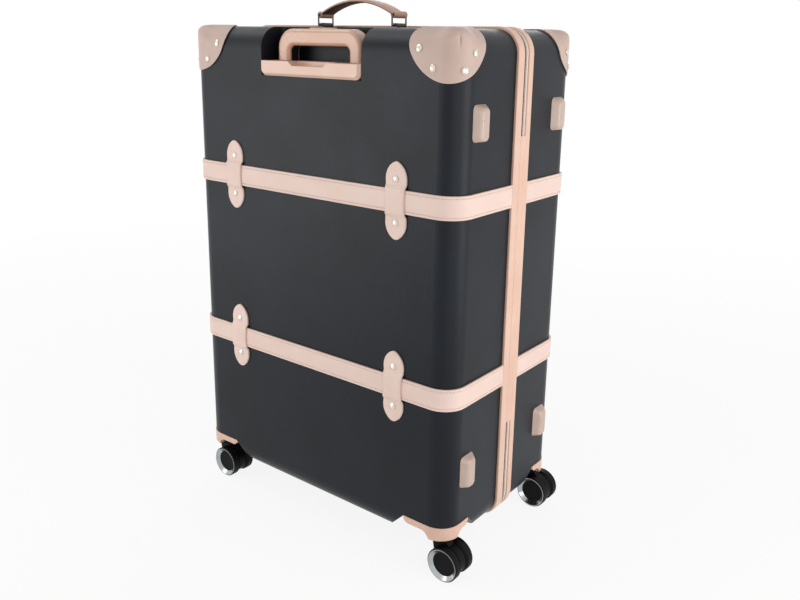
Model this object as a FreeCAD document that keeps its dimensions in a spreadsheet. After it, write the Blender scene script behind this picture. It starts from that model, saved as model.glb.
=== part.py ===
# Trunk-style trolley suitcase in millimetres. +Z is up and the floor under the casters is z = 0. The back,
# with the trolley grip, faces -Y; the leather hinge is on the +X side, the lock and side handle on -X.
# Everything is drawn about the middle of the shells; each node is then moved along X so that the origin
# lies under the middle of the whole object.
import FreeCAD, Part
import math
import os
import Sketcher
from types import SimpleNamespace

REAR, FRONT = -1, 1
ZIP_SIDE, HINGE_SIDE = -1, 1
SIDES = ((REAR, ZIP_SIDE), (REAR, HINGE_SIDE), (FRONT, ZIP_SIDE), (FRONT, HINGE_SIDE))
DIAGONAL = math.sqrt(2)
ALONG = {"x": FreeCAD.Vector(1, 0, 0), "y": FreeCAD.Vector(0, 1, 0), "z": FreeCAD.Vector(0, 0, 1)}

# Driving dimensions of the case
CASE_SIZES = {
    "shell_width": 480,
    "shell_depth": 282,
    "shell_height": 680,
    "shell_bottom": 40,
    "shell_wall": 3,
    "edge_radius": 30,
    "seat_gap": 0.1,
    "soft_gap": 0.3,
    "parting_y": 4,
    "zip_width": 12,
    "zip_tape_proud": 1.2,
    "zip_coil_width": 3,
    "zip_coil_height": 1.2,
    "rear_rim_width": 15,
    "front_rim_width": 11,
    "rim_proud": 3.5,
    "rim_round": 1.5,
    "hinge_low": 184,
    "hinge_high": 587,
    "hinge_groove": 1,
    "well_length": 70,
    "well_width": 52,
    "well_top": 75,
    "lining_thickness": 1.2,
}

# Driving dimensions of the leather trim and its fasteners
TRIM_SIZES = {
    "belt_width": 30,
    "belt_thickness": 3,
    "belt_round": 0.8,
    "upper_belt_height": 510,
    "lower_belt_height": 260,
    "keeper_length": 100,
    "keeper_width": 33,
    "keeper_waist": 28,
    "keeper_thickness": 2.5,
    "keeper_tip_width": 21.6,
    "keeper_tip_drop": 6.6,
    "keeper_swell": 0.6,
    "keeper_spacing": 300,
    "keeper_rivet_pitch": 56,
    "keeper_ramp": 6,
    "rivet_radius": 4.5,
    "rivet_height": 2.2,
    "rivet_crown": 7.5,
    "cap_thickness": 2,
    "cap_back_inset": 16,
    "cap_side_inset": -5,
    "cap_drop": 2,
    "cap_radius": 60,
    "back_rivet_high_inset": 59,
    "back_rivet_high_drop": 24,
    "back_rivet_low_inset": 38,
    "back_rivet_low_drop": 46,
    "side_rivet_high_inset": 27,
    "side_rivet_high_drop": 28,
    "side_rivet_low_inset": 14,
    "side_rivet_low_drop": 48,
    "foot_width": 30,
    "foot_face_width": 16,
    "foot_height": 45,
    "foot_high_slope": 4.5,
    "foot_low_slope": 1.5,
    "foot_proud": 10,
    "foot_round": 2.5,
    "foot_from_middle": 97,
    "upper_foot_height": 610,
    "lower_foot_height": 150,
}

# Driving dimensions of the trolley
TROLLEY_SIZES = {
    "bezel_width": 180,
    "bezel_height": 20,
    "bezel_proud": 4,
    "bezel_corner": 9,
    "bezel_bevel": 3.5,
    "bezel_round": 1,
    "bezel_gap": 0.5,
    "scoop_width": 72,
    "scoop_slant": 8,
    "scoop_depth": 6,
    "scoop_reach": 15,
    "recess_depth": 46,
    "recess_floor": 655,
    "recess_corner": 8,
    "grip_width": 152,
    "grip_depth": 24,
    "grip_setback": 16.5,
    "grip_top": 717.5,
    "grip_leg": 22,
    "grip_bar": 22,
    "grip_corner": 26,
    "grip_hole_corner": 8,
    "grip_round": 6,
    "grip_socket": 15,
    "tube_wide": 22,
    "tube_deep": 16,
    "tube_wall": 1.2,
    "tube_gap": 0.3,
    "tube_corner": 5,
    "tube_step": 4,
    "bezel_socket": 6,
    "bracket_height": 20,
    "bracket_margin": 5,
    "bracket_socket": 14,
    "button_length": 39,
    "button_width": 12,
    "button_height": 8,
    "button_proud": 1.5,
    "button_travel": 3,
    "button_round": 1.2,
}

# Driving dimensions of the carry handles, the lock and the zip sliders
HARDWARE_SIZES = {
    "handle_spread": 134,
    "loop_width": 30,
    "loop_height": 14,
    "wire_radius": 1.2,
    "pivot_height": 3.5,
    "pivot_gap": 0.1,
    "saddle_length": 9,
    "saddle_width": 22,
    "saddle_height": 6.5,
    "saddle_round": 2.5,
    "strap_width": 26,
    "strap_thickness": 4,
    "strap_rise": 18.5,
    "strap_eye": 4.6,
    "top_handle_y": -36,
    "side_handle_y": -64,
    "lock_width": 32,
    "lock_height": 62,
    "lock_proud": 8,
    "lock_round": 2.5,
    "lock_y": -41,
    "lock_middle": 609,
    "dial_radius": 4.5,
    "dial_width": 6,
    "dial_pitch": 9,
    "dial_gap": 0.3,
    "dial_pin": 1.2,
    "dial_rise": 8,
    "lock_button_radius": 5,
    "lock_button_height": 5,
    "lock_button_proud": 1.5,
    "lock_button_drop": 19,
    "lock_button_travel": 1.2,
    "slider_width": 9,
    "slider_length": 14,
    "slider_height": 4.5,
    "slider_round": 1.2,
    "slider_spacing": 26,
    "tab_width": 6,
    "tab_length": 22,
    "tab_thickness": 1.6,
}

# Driving dimensions of the casters and their corner housings
CASTER_SIZES = {
    "swivel_inset": 21,
    "trail": 15.5,
    "wheel_radius": 24,
    "wheel_width": 13,
    "wheel_round": 2.5,
    "wheel_gap": 1.2,
    "hub_skin": 6.5,
    "ring_outer": 22.4,
    "ring_inner": 17,
    "ring_depth": 5,
    "ring_lip": 0.8,
    "fork_width": 12,
    "fork_radius": 21.5,
    "fork_neck": 11,
    "swivel_plate_radius": 13.5,
    "swivel_plate_thickness": 2.6,
    "swivel_gap": 0.3,
    "stem_radius": 5,
    "stem_length": 14,
    "running_fit": 0.05,
    "axle_radius": 3,
    "boss_bottom": 55,
    "boss_size": 27,
    "arm_bottom": 66,
    "arm_proud": 1,
    "arm_fillet": 14,
    "arm_tip": 8,
    "housing_round": 2.5,
}

SIZES = {**CASE_SIZES, **TRIM_SIZES, **TROLLEY_SIZES, **HARDWARE_SIZES, **CASTER_SIZES}


class Size:
    """A length that carries both its number and the sheet formula behind it."""

    def __init__(self, number, formula=None):
        self.number = float(number)
        self.formula = formula or f"({self.number!r})"

    def __add__(self, other):
        other = as_size(other)
        return Size(self.number + other.number, f"({self.formula} + {other.formula})")

    def __sub__(self, other):
        other = as_size(other)
        return Size(self.number - other.number, f"({self.formula} - {other.formula})")

    def __mul__(self, factor):
        return Size(self.number * factor, f"({self.formula} * ({factor!r}))")

    def __truediv__(self, factor):
        return Size(self.number / factor, f"({self.formula} / ({factor!r}))")

    def __neg__(self):
        return self * -1

    def __rsub__(self, other):
        return as_size(other) - self

    __radd__ = __add__
    __rmul__ = __mul__


def as_size(value):
    """Wrap a plain number as a Size."""
    return value if isinstance(value, Size) else Size(value)


doc = FreeCAD.newDocument("suitcase")
dims = doc.addObject("Spreadsheet::Sheet", "dims")
for row, (alias, length) in enumerate(SIZES.items(), 1):
    dims.set(f"A{row}", alias.replace("_", " "))
    dims.set(f"B{row}", str(length))
    dims.setAlias(f"B{row}", alias)
doc.recompute()
S = SimpleNamespace(**{alias: Size(dims.get(alias), f"dims.{alias}") for alias in SIZES})

# Places that several pieces share
half_width = S.shell_width / 2
half_depth = S.shell_depth / 2
shell_top = S.shell_bottom + S.shell_height
rear_edge = S.parting_y - S.zip_width / 2
front_edge = S.parting_y + S.zip_width / 2
rear_rim_back = rear_edge - S.rear_rim_width
front_rim_front = front_edge + S.front_rim_width
rim_face = half_width + S.seat_gap + S.rim_proud
beyond = S.edge_radius
tube_x = (S.grip_width - S.grip_leg) / 2
tube_y = S.grip_setback + S.grip_depth / 2 - half_depth
bezel_top = S.recess_floor + S.seat_gap + S.bezel_height
grip_bottom = bezel_top + S.soft_gap
recess_back = S.recess_depth - half_depth
cover_back = recess_back + S.shell_wall + S.soft_gap
cover_front = cover_back + S.lining_thickness
lining_inset = S.shell_wall + S.soft_gap
room_inset = lining_inset + S.lining_thickness
swivel_x = half_width - S.swivel_inset
swivel_y = half_depth - S.swivel_inset
belt_face = S.seat_gap + S.belt_thickness
side_handle_height = (S.upper_belt_height + S.lower_belt_height) / 2
handle_reach = half_width + S.pivot_height + S.loop_height + S.strap_rise + S.strap_thickness / 2
wheel_reach = swivel_x + S.trail + S.wheel_radius
case_shift = (handle_reach - wheel_reach) / 2
nodes = []


def bind(thing, **sizes):
    """Tie properties of a document object to the sheet."""
    for prop, size in sizes.items():
        thing.setExpression(prop, as_size(size).formula)


def place(thing, x=0, y=0, z=0, turn=None):
    """Put a document object at a place, turned if asked."""
    if turn:
        thing.Placement = FreeCAD.Placement(FreeCAD.Vector(), turn)
    for axis, size in (("x", x), ("y", y), ("z", z)):
        thing.setExpression(f"Placement.Base.{axis}", as_size(size).formula)
    return thing


def turned(axis, degrees):
    """A rotation about one of the main axes."""
    return FreeCAD.Rotation(ALONG[axis], degrees)


def spread(size, extra=0):
    """A span that reaches equally far both ways."""
    return (-(as_size(size) + extra), as_size(size) + extra)


def facing(side, near, far):
    """A span from near to far on the side with that sign, as low and high ends."""
    return (near, far) if side > 0 else (-far, -near)


def fix_point(sketch, line, end, x, y):
    """Hold one end of a sketch line at a place tied to the sheet."""
    for kind, axis, size in (("DistanceX", -2, x), ("DistanceY", -1, y)):
        if abs(size.number) < 1e-9:
            sketch.addConstraint(Sketcher.Constraint("PointOnObject", line, end, axis))
        else:
            at = sketch.addConstraint(Sketcher.Constraint(kind, -1, 1, line, end, size.number))
            sketch.setExpression(f"Constraints[{at}]", size.formula)


def new_sketch(body, plane):
    """Start a sketch on one of the body's own planes."""
    sketch = body.newObject("Sketcher::SketchObject", f"{body.Name}_{plane}_sketch")
    support = next(f for f in body.Origin.OriginFeatures if f.Role == f"{plane}_Plane")
    sketch.AttachmentSupport = [(support, "")]
    sketch.MapMode = "FlatFace"
    return sketch


def draw_outline(sketch, corners):
    """Draw a closed run of straight lines through corners tied to the sheet."""
    corners = [(as_size(x), as_size(y)) for x, y in corners]
    points = [FreeCAD.Vector(x.number, y.number, 0) for x, y in corners]
    first = sketch.GeometryCount
    for start, end in zip(points, points[1:] + points[:1]):
        sketch.addGeometry(Part.LineSegment(start, end), False)
    for i, (x, y) in enumerate(corners):
        before = first + (i - 1) % len(corners)
        sketch.addConstraint(Sketcher.Constraint("Coincident", before, 2, first + i, 1))
        fix_point(sketch, first + i, 1, x, y)


def draw_circle(sketch, x, y, radius):
    """Draw a circle tied to the sheet."""
    x, y, radius = as_size(x), as_size(y), as_size(radius)
    centre = FreeCAD.Vector(x.number, y.number, 0)
    ring = sketch.addGeometry(Part.Circle(centre, FreeCAD.Vector(0, 0, 1), radius.number), False)
    fix_point(sketch, ring, 3, x, y)
    at = sketch.addConstraint(Sketcher.Constraint("Radius", ring, radius.number))
    sketch.setExpression(f"Constraints[{at}]", radius.formula)


def draw_curves(sketch, curves):
    """Draw lines and three-point arcs, held where the sheet's sizes put them."""
    for points in curves:
        points = [FreeCAD.Vector(*(as_size(c).number for c in point), 0) for point in points]
        edge = Part.LineSegment(*points) if len(points) == 2 else Part.Arc(*points)
        at = sketch.addGeometry(edge, False)
        sketch.addConstraint(Sketcher.Constraint("Block", at))


def pad(body, sketch, length, both_ways=False):
    """Pad a sketch by a length tied to the sheet."""
    feature = body.newObject("PartDesign::Pad", f"{sketch.Name}_pad")
    feature.Profile = sketch
    if both_ways:
        feature.SideType = "Symmetric"
    bind(feature, Length=length)
    doc.recompute()
    return feature


def on_edges(body, kind, wanted, **sizes):
    """Add a fillet or a chamfer to the edges of the body's last feature that the test wants."""
    base = body.Tip
    edges = [f"Edge{i}" for i, edge in enumerate(base.Shape.Edges, 1) if wanted(edge)]
    feature = body.newObject(f"PartDesign::{kind}", f"{body.Name}_{kind.lower()}")
    feature.Base = (base, edges)
    bind(feature, **sizes)
    doc.recompute()
    return body


def soften(body, radius, wanted):
    """Round the edges of the body's last feature that the test wants."""
    return on_edges(body, "Fillet", wanted, Radius=radius)


def runs_along(axis):
    """A test for straight edges along one axis."""
    def wanted(edge):
        return isinstance(edge.Curve, Part.Line) and abs(edge.Curve.Direction.dot(ALONG[axis])) > 0.999
    return wanted


def lies_across(axis):
    """A test for edges that lie square to one axis, straight or round."""
    def wanted(edge):
        box = edge.BoundBox
        return {"x": box.XLength, "y": box.YLength, "z": box.ZLength}[axis] < 1e-6
    return wanted


def any_edge(edge):
    """A test that every edge passes."""
    return True


def new_body(name):
    """Start a body."""
    return doc.addObject("PartDesign::Body", name)


def block(name, x, y, z, radius=None, wanted=any_edge):
    """A padded rectangle between low and high ends on each axis, with the wanted edges rounded."""
    body = new_body(name)
    sketch = new_sketch(body, "XY")
    draw_outline(sketch, [(x[0], y[0]), (x[1], y[0]), (x[1], y[1]), (x[0], y[1])])
    pad(body, sketch, z[1] - z[0])
    if radius is not None:
        soften(body, radius, wanted)
    return place(body, 0, 0, z[0])


def box(name, x, y, z):
    """A plain box between low and high ends on each axis."""
    thing = doc.addObject("Part::Box", name)
    bind(thing, Length=x[1] - x[0], Width=y[1] - y[0], Height=z[1] - z[0])
    return place(thing, x[0], y[0], z[0])


def cylinder(name, radius, length, at, axis):
    """A cylinder that starts at a place and runs along an axis."""
    thing = doc.addObject("Part::Cylinder", name)
    bind(thing, Radius=radius, Height=length)
    turn = {"x": turned("y", 90), "y": turned("x", -90), "z": None}[axis]
    return place(thing, *at, turn=turn)


def cut(name, base, *tools):
    """Take tools out of a base."""
    thing = doc.addObject("Part::Cut", name)
    thing.Base = base
    thing.Tool = tools[0] if len(tools) == 1 else fuse(f"{name}_tools", *tools)
    return thing


def fuse(name, *things):
    """Join things into one."""
    thing = doc.addObject("Part::MultiFuse", name)
    thing.Shapes = list(things)
    thing.Refine = True
    return thing


def common(name, first, second):
    """What two things share."""
    thing = doc.addObject("Part::Common", name)
    thing.Base = first
    thing.Tool = second
    return thing


def mirrored(name, source, normal):
    """A mirror image through the middle of the case."""
    thing = doc.addObject("Part::Mirroring", name)
    thing.Source = source
    thing.Normal = ALONG[normal]
    return thing


def copy_at(name, source, x=0, y=0, z=0, turn=None):
    """The same piece at another place."""
    thing = doc.addObject("Part::Compound", name)
    thing.Links = [source]
    return place(thing, x, y, z, turn)


def node(label, *things):
    """Make a named sub-part of one or more solids, moved to the object's own origin."""
    thing = doc.addObject("Part::Compound", label)
    thing.Label = label
    thing.Links = list(things)
    nodes.append(place(thing, case_shift))


# Shells, linings and the leather hinge
def case_block(name, inset):
    """The case's rounded box, drawn in by an inset on every side."""
    return block(name, spread(half_width - inset), spread(half_depth - inset),
                 (S.shell_bottom + inset, shell_top - inset), S.edge_radius - inset)


def wheel_well(name, depth_side, width_side, inset):
    """The corner cut for a caster: flat on top, its inner walls flared at 45 degrees."""
    low = S.shell_bottom - S.shell_wall
    top = S.well_top + inset
    drop = S.well_top - low
    side = (DIAGONAL - 1) * inset
    foot = drop + DIAGONAL * inset
    wedge = doc.addObject("Part::Wedge", name)
    at_top = facing(width_side, half_width - S.well_length - side, half_width + beyond)
    at_foot = facing(width_side, half_width - S.well_length - foot, half_width + beyond)
    deep_top = facing(-depth_side, half_depth - S.well_width - side, half_depth + beyond)
    deep_foot = facing(-depth_side, half_depth - S.well_width - foot, half_depth + beyond)
    bind(wedge, Xmin=at_foot[0], Xmax=at_foot[1], Zmin=deep_foot[0], Zmax=deep_foot[1], Ymin=low)
    bind(wedge, X2min=at_top[0], X2max=at_top[1], Z2min=deep_top[0], Z2max=deep_top[1], Ymax=top)
    wedge.Placement = FreeCAD.Placement(FreeCAD.Vector(), turned("x", 90))
    return wedge


def case_form(name, inset):
    """The case's outer form, or one drawn in by an inset, with its four wheel wells."""
    inset = as_size(inset)
    wells = [wheel_well(f"{name}_well_{i}", *sides, inset) for i, sides in enumerate(SIDES)]
    return cut(name, case_block(f"{name}_block", inset), *wells)


def slab(name, y_low, y_high):
    """A slice of space between two depths, larger than the case."""
    return box(name, spread(half_width, beyond), (y_low, y_high), (as_size(0), shell_top + beyond))


def build_shells():
    """The two hollow half shells; the rear one has the trolley's recess."""
    outer = case_form("outer_form", 0)
    inner = case_form("inner_form", S.shell_wall)
    rear_outer = common("rear_outer", outer, slab("rear_space", -half_depth - beyond, rear_edge))
    front_outer = common("front_outer", outer, slab("front_space", front_edge, half_depth + beyond))
    side = S.bezel_width / 2 + S.bezel_gap
    high = shell_top + beyond
    behind = -half_depth - beyond
    recess = block("recess", spread(side), (behind, recess_back), (S.recess_floor, high),
                   S.recess_corner, runs_along("z"))
    wall = S.shell_wall
    recess_wall = block("recess_wall", spread(side + wall), (behind, recess_back + wall),
                        (S.recess_floor - wall, high), S.recess_corner + wall, runs_along("z"))
    slots = tube_pair("recess_slots", S.tube_gap, (S.recess_floor - 2 * wall, S.recess_floor + wall), 0)
    rear_room = cut("rear_room", inner, recess_wall)
    node("rear_shell", cut("rear_tub", rear_outer, recess, rear_room, *slots))
    node("front_shell", cut("front_tub", front_outer, inner))


def build_linings():
    """Cloth linings of both halves and the stiff panel over the trolley tubes."""
    outer = case_form("lining_form", lining_inset)
    room = case_form("room_form", room_inset)
    sleeve = cut("lining_sleeve", outer, room)
    node("rear_lining", common("rear_sleeve", sleeve, slab("rear_sleeve_space", cover_front, rear_edge)))
    cover_space = slab("cover_space", cover_back, cover_front - S.seat_gap)
    node("trolley_cover", common("cover_panel", outer, cover_space))
    node("front_lining", common("front_sleeve", sleeve, slab("front_sleeve_space", front_edge, half_depth)))


def edge_band(name, low, high, outside, inside, rounding=None):
    """A band round the case's edge: from inside to outside of the shell's face, between two depths."""
    body = block(f"{name}_outside", spread(half_width + outside), (low, high),
                 (S.shell_bottom - outside, shell_top + outside), S.edge_radius + outside, runs_along("y"))
    if rounding is not None:
        soften(body, rounding, lies_across("y"))
    core = block(f"{name}_inside", spread(half_width + inside), (low - 1, high + 1),
                 (S.shell_bottom - inside, shell_top + inside), S.edge_radius + inside, runs_along("y"))
    return cut(name, body, core)


def build_edges():
    """The trim beside the zip, the zip halves and the leather hinge strip between them."""
    seat, face = S.seat_gap, S.seat_gap + S.rim_proud
    node("rear_rim", edge_band("rear_trim", rear_rim_back, rear_edge, face, seat, S.rim_round))
    node("front_rim", edge_band("front_trim", front_edge, front_rim_front, face, seat, S.rim_round))
    beside_hinge = box("beside_hinge", (half_width - S.edge_radius, half_width + beyond),
                       (rear_edge, front_edge), (S.hinge_low, S.hinge_high))
    tape, coil = S.zip_tape_proud, S.zip_tape_proud + S.zip_coil_height
    middle = S.parting_y
    spans = {
        "rear": ((rear_edge + seat, middle - seat), (middle - S.zip_coil_width, middle - seat)),
        "front": ((middle + seat, front_edge - seat), (middle + seat, middle + S.zip_coil_width)),
    }
    for half, (tape_span, coil_span) in spans.items():
        tapes = edge_band(f"{half}_tape", *tape_span, tape, -S.shell_wall)
        coils = edge_band(f"{half}_coil", *coil_span, coil, S.zip_tape_proud)
        ring = fuse(f"{half}_zip_ring", tapes, coils)
        node(f"{half}_zip", cut(f"{half}_zip_run", ring, beside_hinge))
    strip = box("strip", (half_width - S.shell_wall, rim_face), (rear_edge + seat, front_edge - seat),
                (S.hinge_low + seat, S.hinge_high - seat))
    fold = cylinder("strip_fold", S.hinge_groove, S.hinge_high, (rim_face, S.parting_y, 0), "z")
    node("hinge_strip", cut("hinge_leather", strip, fold))


# Leather straps, keepers, caps, rivets and side feet
def build_belts():
    """Two straps round each half, between the trim on one side and the trim on the other."""
    core = block("belt_core", spread(half_width + S.seat_gap), spread(half_depth + S.seat_gap),
                 (S.shell_bottom, shell_top), S.edge_radius + S.seat_gap, runs_along("z"))
    rear, front = [], []
    rear_space = slab("rear_belt_space", -half_depth - beyond, rear_rim_back - S.seat_gap)
    front_space = slab("front_belt_space", front_rim_front + S.seat_gap, half_depth + beyond)
    for name, height in (("upper_belt", S.upper_belt_height), ("lower_belt", S.lower_belt_height)):
        body = block(f"{name}_block", spread(half_width + belt_face), spread(half_depth + belt_face),
                     (height - S.belt_width / 2, height + S.belt_width / 2),
                     S.edge_radius + belt_face, runs_along("z"))
        soften(body, S.belt_round, lies_across("z"))
        ring = cut(f"{name}_ring", body, core)
        rear.append(common(f"rear_{name}", ring, rear_space))
        front.append(common(f"front_{name}", ring, front_space))
    node("rear_belts", *rear)
    node("front_belts", *front)


def keeper():
    """One leather keeper: a waisted tab that bridges the strap, seen from the back at the shell's face."""
    half, wide, waist = S.keeper_length / 2, S.keeper_width / 2, S.keeper_waist / 2
    bulge = S.keeper_rivet_pitch / 2
    tip_x, tip_z = S.keeper_tip_width / 2, half - S.keeper_tip_drop
    swell_x, swell_z = (wide + waist) / 2 + S.keeper_swell, bulge / 2
    curves = []
    for up in (1, -1):
        for across in (1, -1):
            tip, lobe, middle = (0, half * up), (wide * across, bulge * up), (waist * across, 0)
            curves.append([tip, (tip_x * across, tip_z * up), lobe])
            curves.append([lobe, (swell_x * across, swell_z * up), middle])
    outline = new_body("keeper_outline")
    sketch = new_sketch(outline, "XZ")
    draw_curves(sketch, curves)
    pad(outline, sketch, S.keeper_length, both_ways=True)
    near, far = S.seat_gap, belt_face + S.seat_gap
    flat, ramp = S.belt_width / 2 + S.soft_gap, S.belt_width / 2 + S.soft_gap + S.keeper_ramp
    thick = S.keeper_thickness
    under = [(-half - 1, near), (-ramp, near), (-flat, far), (flat, far), (ramp, near), (half + 1, near)]
    profile = [(-depth, along) for along, depth in under]
    profile += [(-depth - thick, along) for along, depth in reversed(under)]
    bridge = new_body("keeper_bridge")
    side = new_sketch(bridge, "YZ")
    draw_outline(side, profile)
    pad(bridge, side, S.keeper_width + 2, both_ways=True)
    return common("keeper", outline, bridge)


def rivet():
    """One domed rivet head, its flat face at z = 0."""
    barrel = cylinder("rivet_barrel", S.rivet_radius, S.rivet_height, (0, 0, 0), "z")
    crown = doc.addObject("Part::Sphere", "rivet_crown_ball")
    bind(crown, Radius=S.rivet_crown)
    place(crown, 0, 0, S.rivet_height - S.rivet_crown)
    return common("rivet", barrel, crown)


def rounded_in(distance):
    """How far a face has turned at a distance from the box corner: 0 is flat, 1 a full quarter."""
    return max(0.0, (S.edge_radius - distance).number / S.edge_radius.number)


def cap_rivets(head, width_side):
    """The four rivets of one rear corner cap: two on the back, two on the side, each square to its place."""
    bend = S.edge_radius + S.seat_gap + S.cap_thickness + S.seat_gap

    def at(reach, inset, turn):
        """A rivet's distance from the middle along one axis."""
        return reach - S.edge_radius + bend * turn if turn else reach - inset

    heads = []
    for name, inset, drop in (("back_high", S.back_rivet_high_inset, S.back_rivet_high_drop),
                              ("back_low", S.back_rivet_low_inset, S.back_rivet_low_drop),
                              ("side_high", S.side_rivet_high_inset, S.side_rivet_high_drop),
                              ("side_low", S.side_rivet_low_inset, S.side_rivet_low_drop)):
        turn, tilt = rounded_in(inset), rounded_in(drop)
        straight = math.sqrt(1 - turn ** 2 - tilt ** 2)
        across, back = (turn, straight) if name.startswith("back") else (straight, turn)
        outward = FreeCAD.Vector(width_side * across, -back, tilt)
        square = FreeCAD.Rotation(ALONG["z"], outward)
        x, y = width_side * at(half_width, inset, across), -at(half_depth, inset, back)
        z = at(shell_top, drop, tilt)
        heads.append(copy_at(f"cap_rivet_{name}_{width_side + 1}", head, x, y, z, square))
    return heads


def build_keepers():
    """Keepers over the straps, with their rivets and those of the caps, on the back and on the front."""
    tab, head = keeper(), rivet()
    tabs, heads = [], []
    stand = half_depth + S.seat_gap + S.keeper_thickness + S.seat_gap
    outward = turned("x", 90)
    for level in (S.upper_belt_height, S.lower_belt_height):
        for across in (ZIP_SIDE, HINGE_SIDE):
            x = S.keeper_spacing / 2 * across
            tabs.append(copy_at(f"keeper_at_{len(tabs)}", tab, x, -half_depth, level))
            for up in (1, -1):
                z = level + S.keeper_rivet_pitch / 2 * up
                heads.append(copy_at(f"keeper_rivet_{len(heads)}", head, x, -stand, z, outward))
    for across in (ZIP_SIDE, HINGE_SIDE):
        heads += cap_rivets(head, across)
    node("rear_keepers", *tabs)
    node("front_keepers", *(mirrored(f"front_{tab.Name}", tab, "y") for tab in tabs))
    node("rear_rivets", *heads)
    node("front_rivets", *(mirrored(f"front_{head.Name}", head, "y") for head in heads))


def build_caps():
    """Moulded leather caps on the four top corners, trimmed to round lobes."""
    skin = cut("cap_skin", case_block("cap_outside", -S.seat_gap - S.cap_thickness),
               case_block("cap_inside", -S.seat_gap))
    caps = []
    for across in (ZIP_SIDE, HINGE_SIDE):
        ball = doc.addObject("Part::Sphere", f"cap_ball_{across + 1}")
        bind(ball, Radius=S.cap_radius)
        place(ball, across * (half_width - S.cap_back_inset), S.cap_side_inset - half_depth,
              shell_top - S.cap_drop)
        caps.append(common(f"cap_{across + 1}", skin, ball))
    node("rear_corner_caps", *caps)
    node("front_corner_caps", *(mirrored(f"front_{cap.Name}", cap, "y") for cap in caps))


def side_foot():
    """One tapered foot: its base on the XZ plane, its narrow face towards +Y, its upper end sloped most."""
    body = new_body("side_foot")
    form = body.newObject("PartDesign::AdditiveWedge", "foot_form")
    base, face, tall = spread(S.foot_width / 2), spread(S.foot_face_width / 2), spread(S.foot_height / 2)
    bind(form, Xmin=base[0], Xmax=base[1], Zmin=tall[0], Zmax=tall[1], Ymin=0)
    bind(form, X2min=face[0], X2max=face[1], Z2min=tall[0] + S.foot_low_slope,
         Z2max=tall[1] - S.foot_high_slope, Ymax=S.foot_proud - S.seat_gap)
    doc.recompute()
    return soften(body, S.foot_round, lambda edge: edge.BoundBox.YMax > 1e-6)


def build_feet():
    """Two feet on each half, for laying the case down on its hinge side."""
    foot = side_foot()
    x = half_width + S.seat_gap
    outward = turned("z", -90)
    for half, side in (("rear", REAR), ("front", FRONT)):
        node(f"{half}_side_feet", *(
            copy_at(f"{half}_{name}_foot", foot, x, S.foot_from_middle * side, height, outward)
            for name, height in (("upper", S.upper_foot_height), ("lower", S.lower_foot_height))))


# Trolley: bezel, telescoping tubes, bottom bracket, grip and push button
def tube_size(stage):
    """Outside width and depth of a tube stage: 0 outer, 1 middle, 2 inner."""
    shrink = 2 * stage * (S.tube_wall + S.tube_gap)
    return S.tube_wide - shrink, S.tube_deep - shrink


def tube_pair(name, gap, z, stage):
    """Two solid bars of a tube stage's outside size, grown by a gap."""
    wide, deep = tube_size(stage)
    corner = S.tube_corner - stage * (S.tube_wall + S.tube_gap) + gap
    y = (tube_y - deep / 2 - gap, tube_y + deep / 2 + gap)
    bars = []
    for across in (ZIP_SIDE, HINGE_SIDE):
        x = (across * tube_x - wide / 2 - gap, across * tube_x + wide / 2 + gap)
        bars.append(block(f"{name}_{across + 1}", x, y, z, corner, runs_along("z")))
    return bars


def build_tubes():
    """Three stages of oval tube on each side; each stage slides in the one before."""
    foot = S.shell_bottom + S.shell_wall + S.seat_gap + S.bracket_height - S.bracket_socket + S.seat_gap
    grip_seat = grip_bottom + S.grip_socket - S.seat_gap
    tops = (S.recess_floor + S.bezel_socket, bezel_top - S.tube_step, grip_seat)
    for stage, name in enumerate(("trolley_outer_tubes", "trolley_middle_tubes", "trolley_inner_tubes")):
        z = (foot + stage * S.tube_step, tops[stage])
        bars = tube_pair(f"{name}_bar", 0, z, stage)
        bores = tube_pair(f"{name}_bore", -S.tube_wall, (z[0] - 1, z[1] + 1), stage)
        node(name, *(cut(f"{name}_{i}", bar, bore) for i, (bar, bore) in enumerate(zip(bars, bores))))
    wide, deep = S.tube_wide / 2 + S.bracket_margin, S.tube_deep / 2 + S.bracket_margin
    low = S.shell_bottom + S.shell_wall + S.seat_gap
    bracket = block("bracket", spread(tube_x + wide), (tube_y - deep, tube_y + deep),
                    (low, low + S.bracket_height), S.bracket_margin, runs_along("z"))
    fitted = common("bracket_fitted", bracket, case_block("bracket_room", S.shell_wall + S.seat_gap))
    sockets = tube_pair("bracket_sockets", S.seat_gap, (foot - S.seat_gap, low + S.bracket_height + 1), 0)
    node("trolley_bracket", cut("trolley_bracket_piece", fitted, *sockets))


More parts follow.
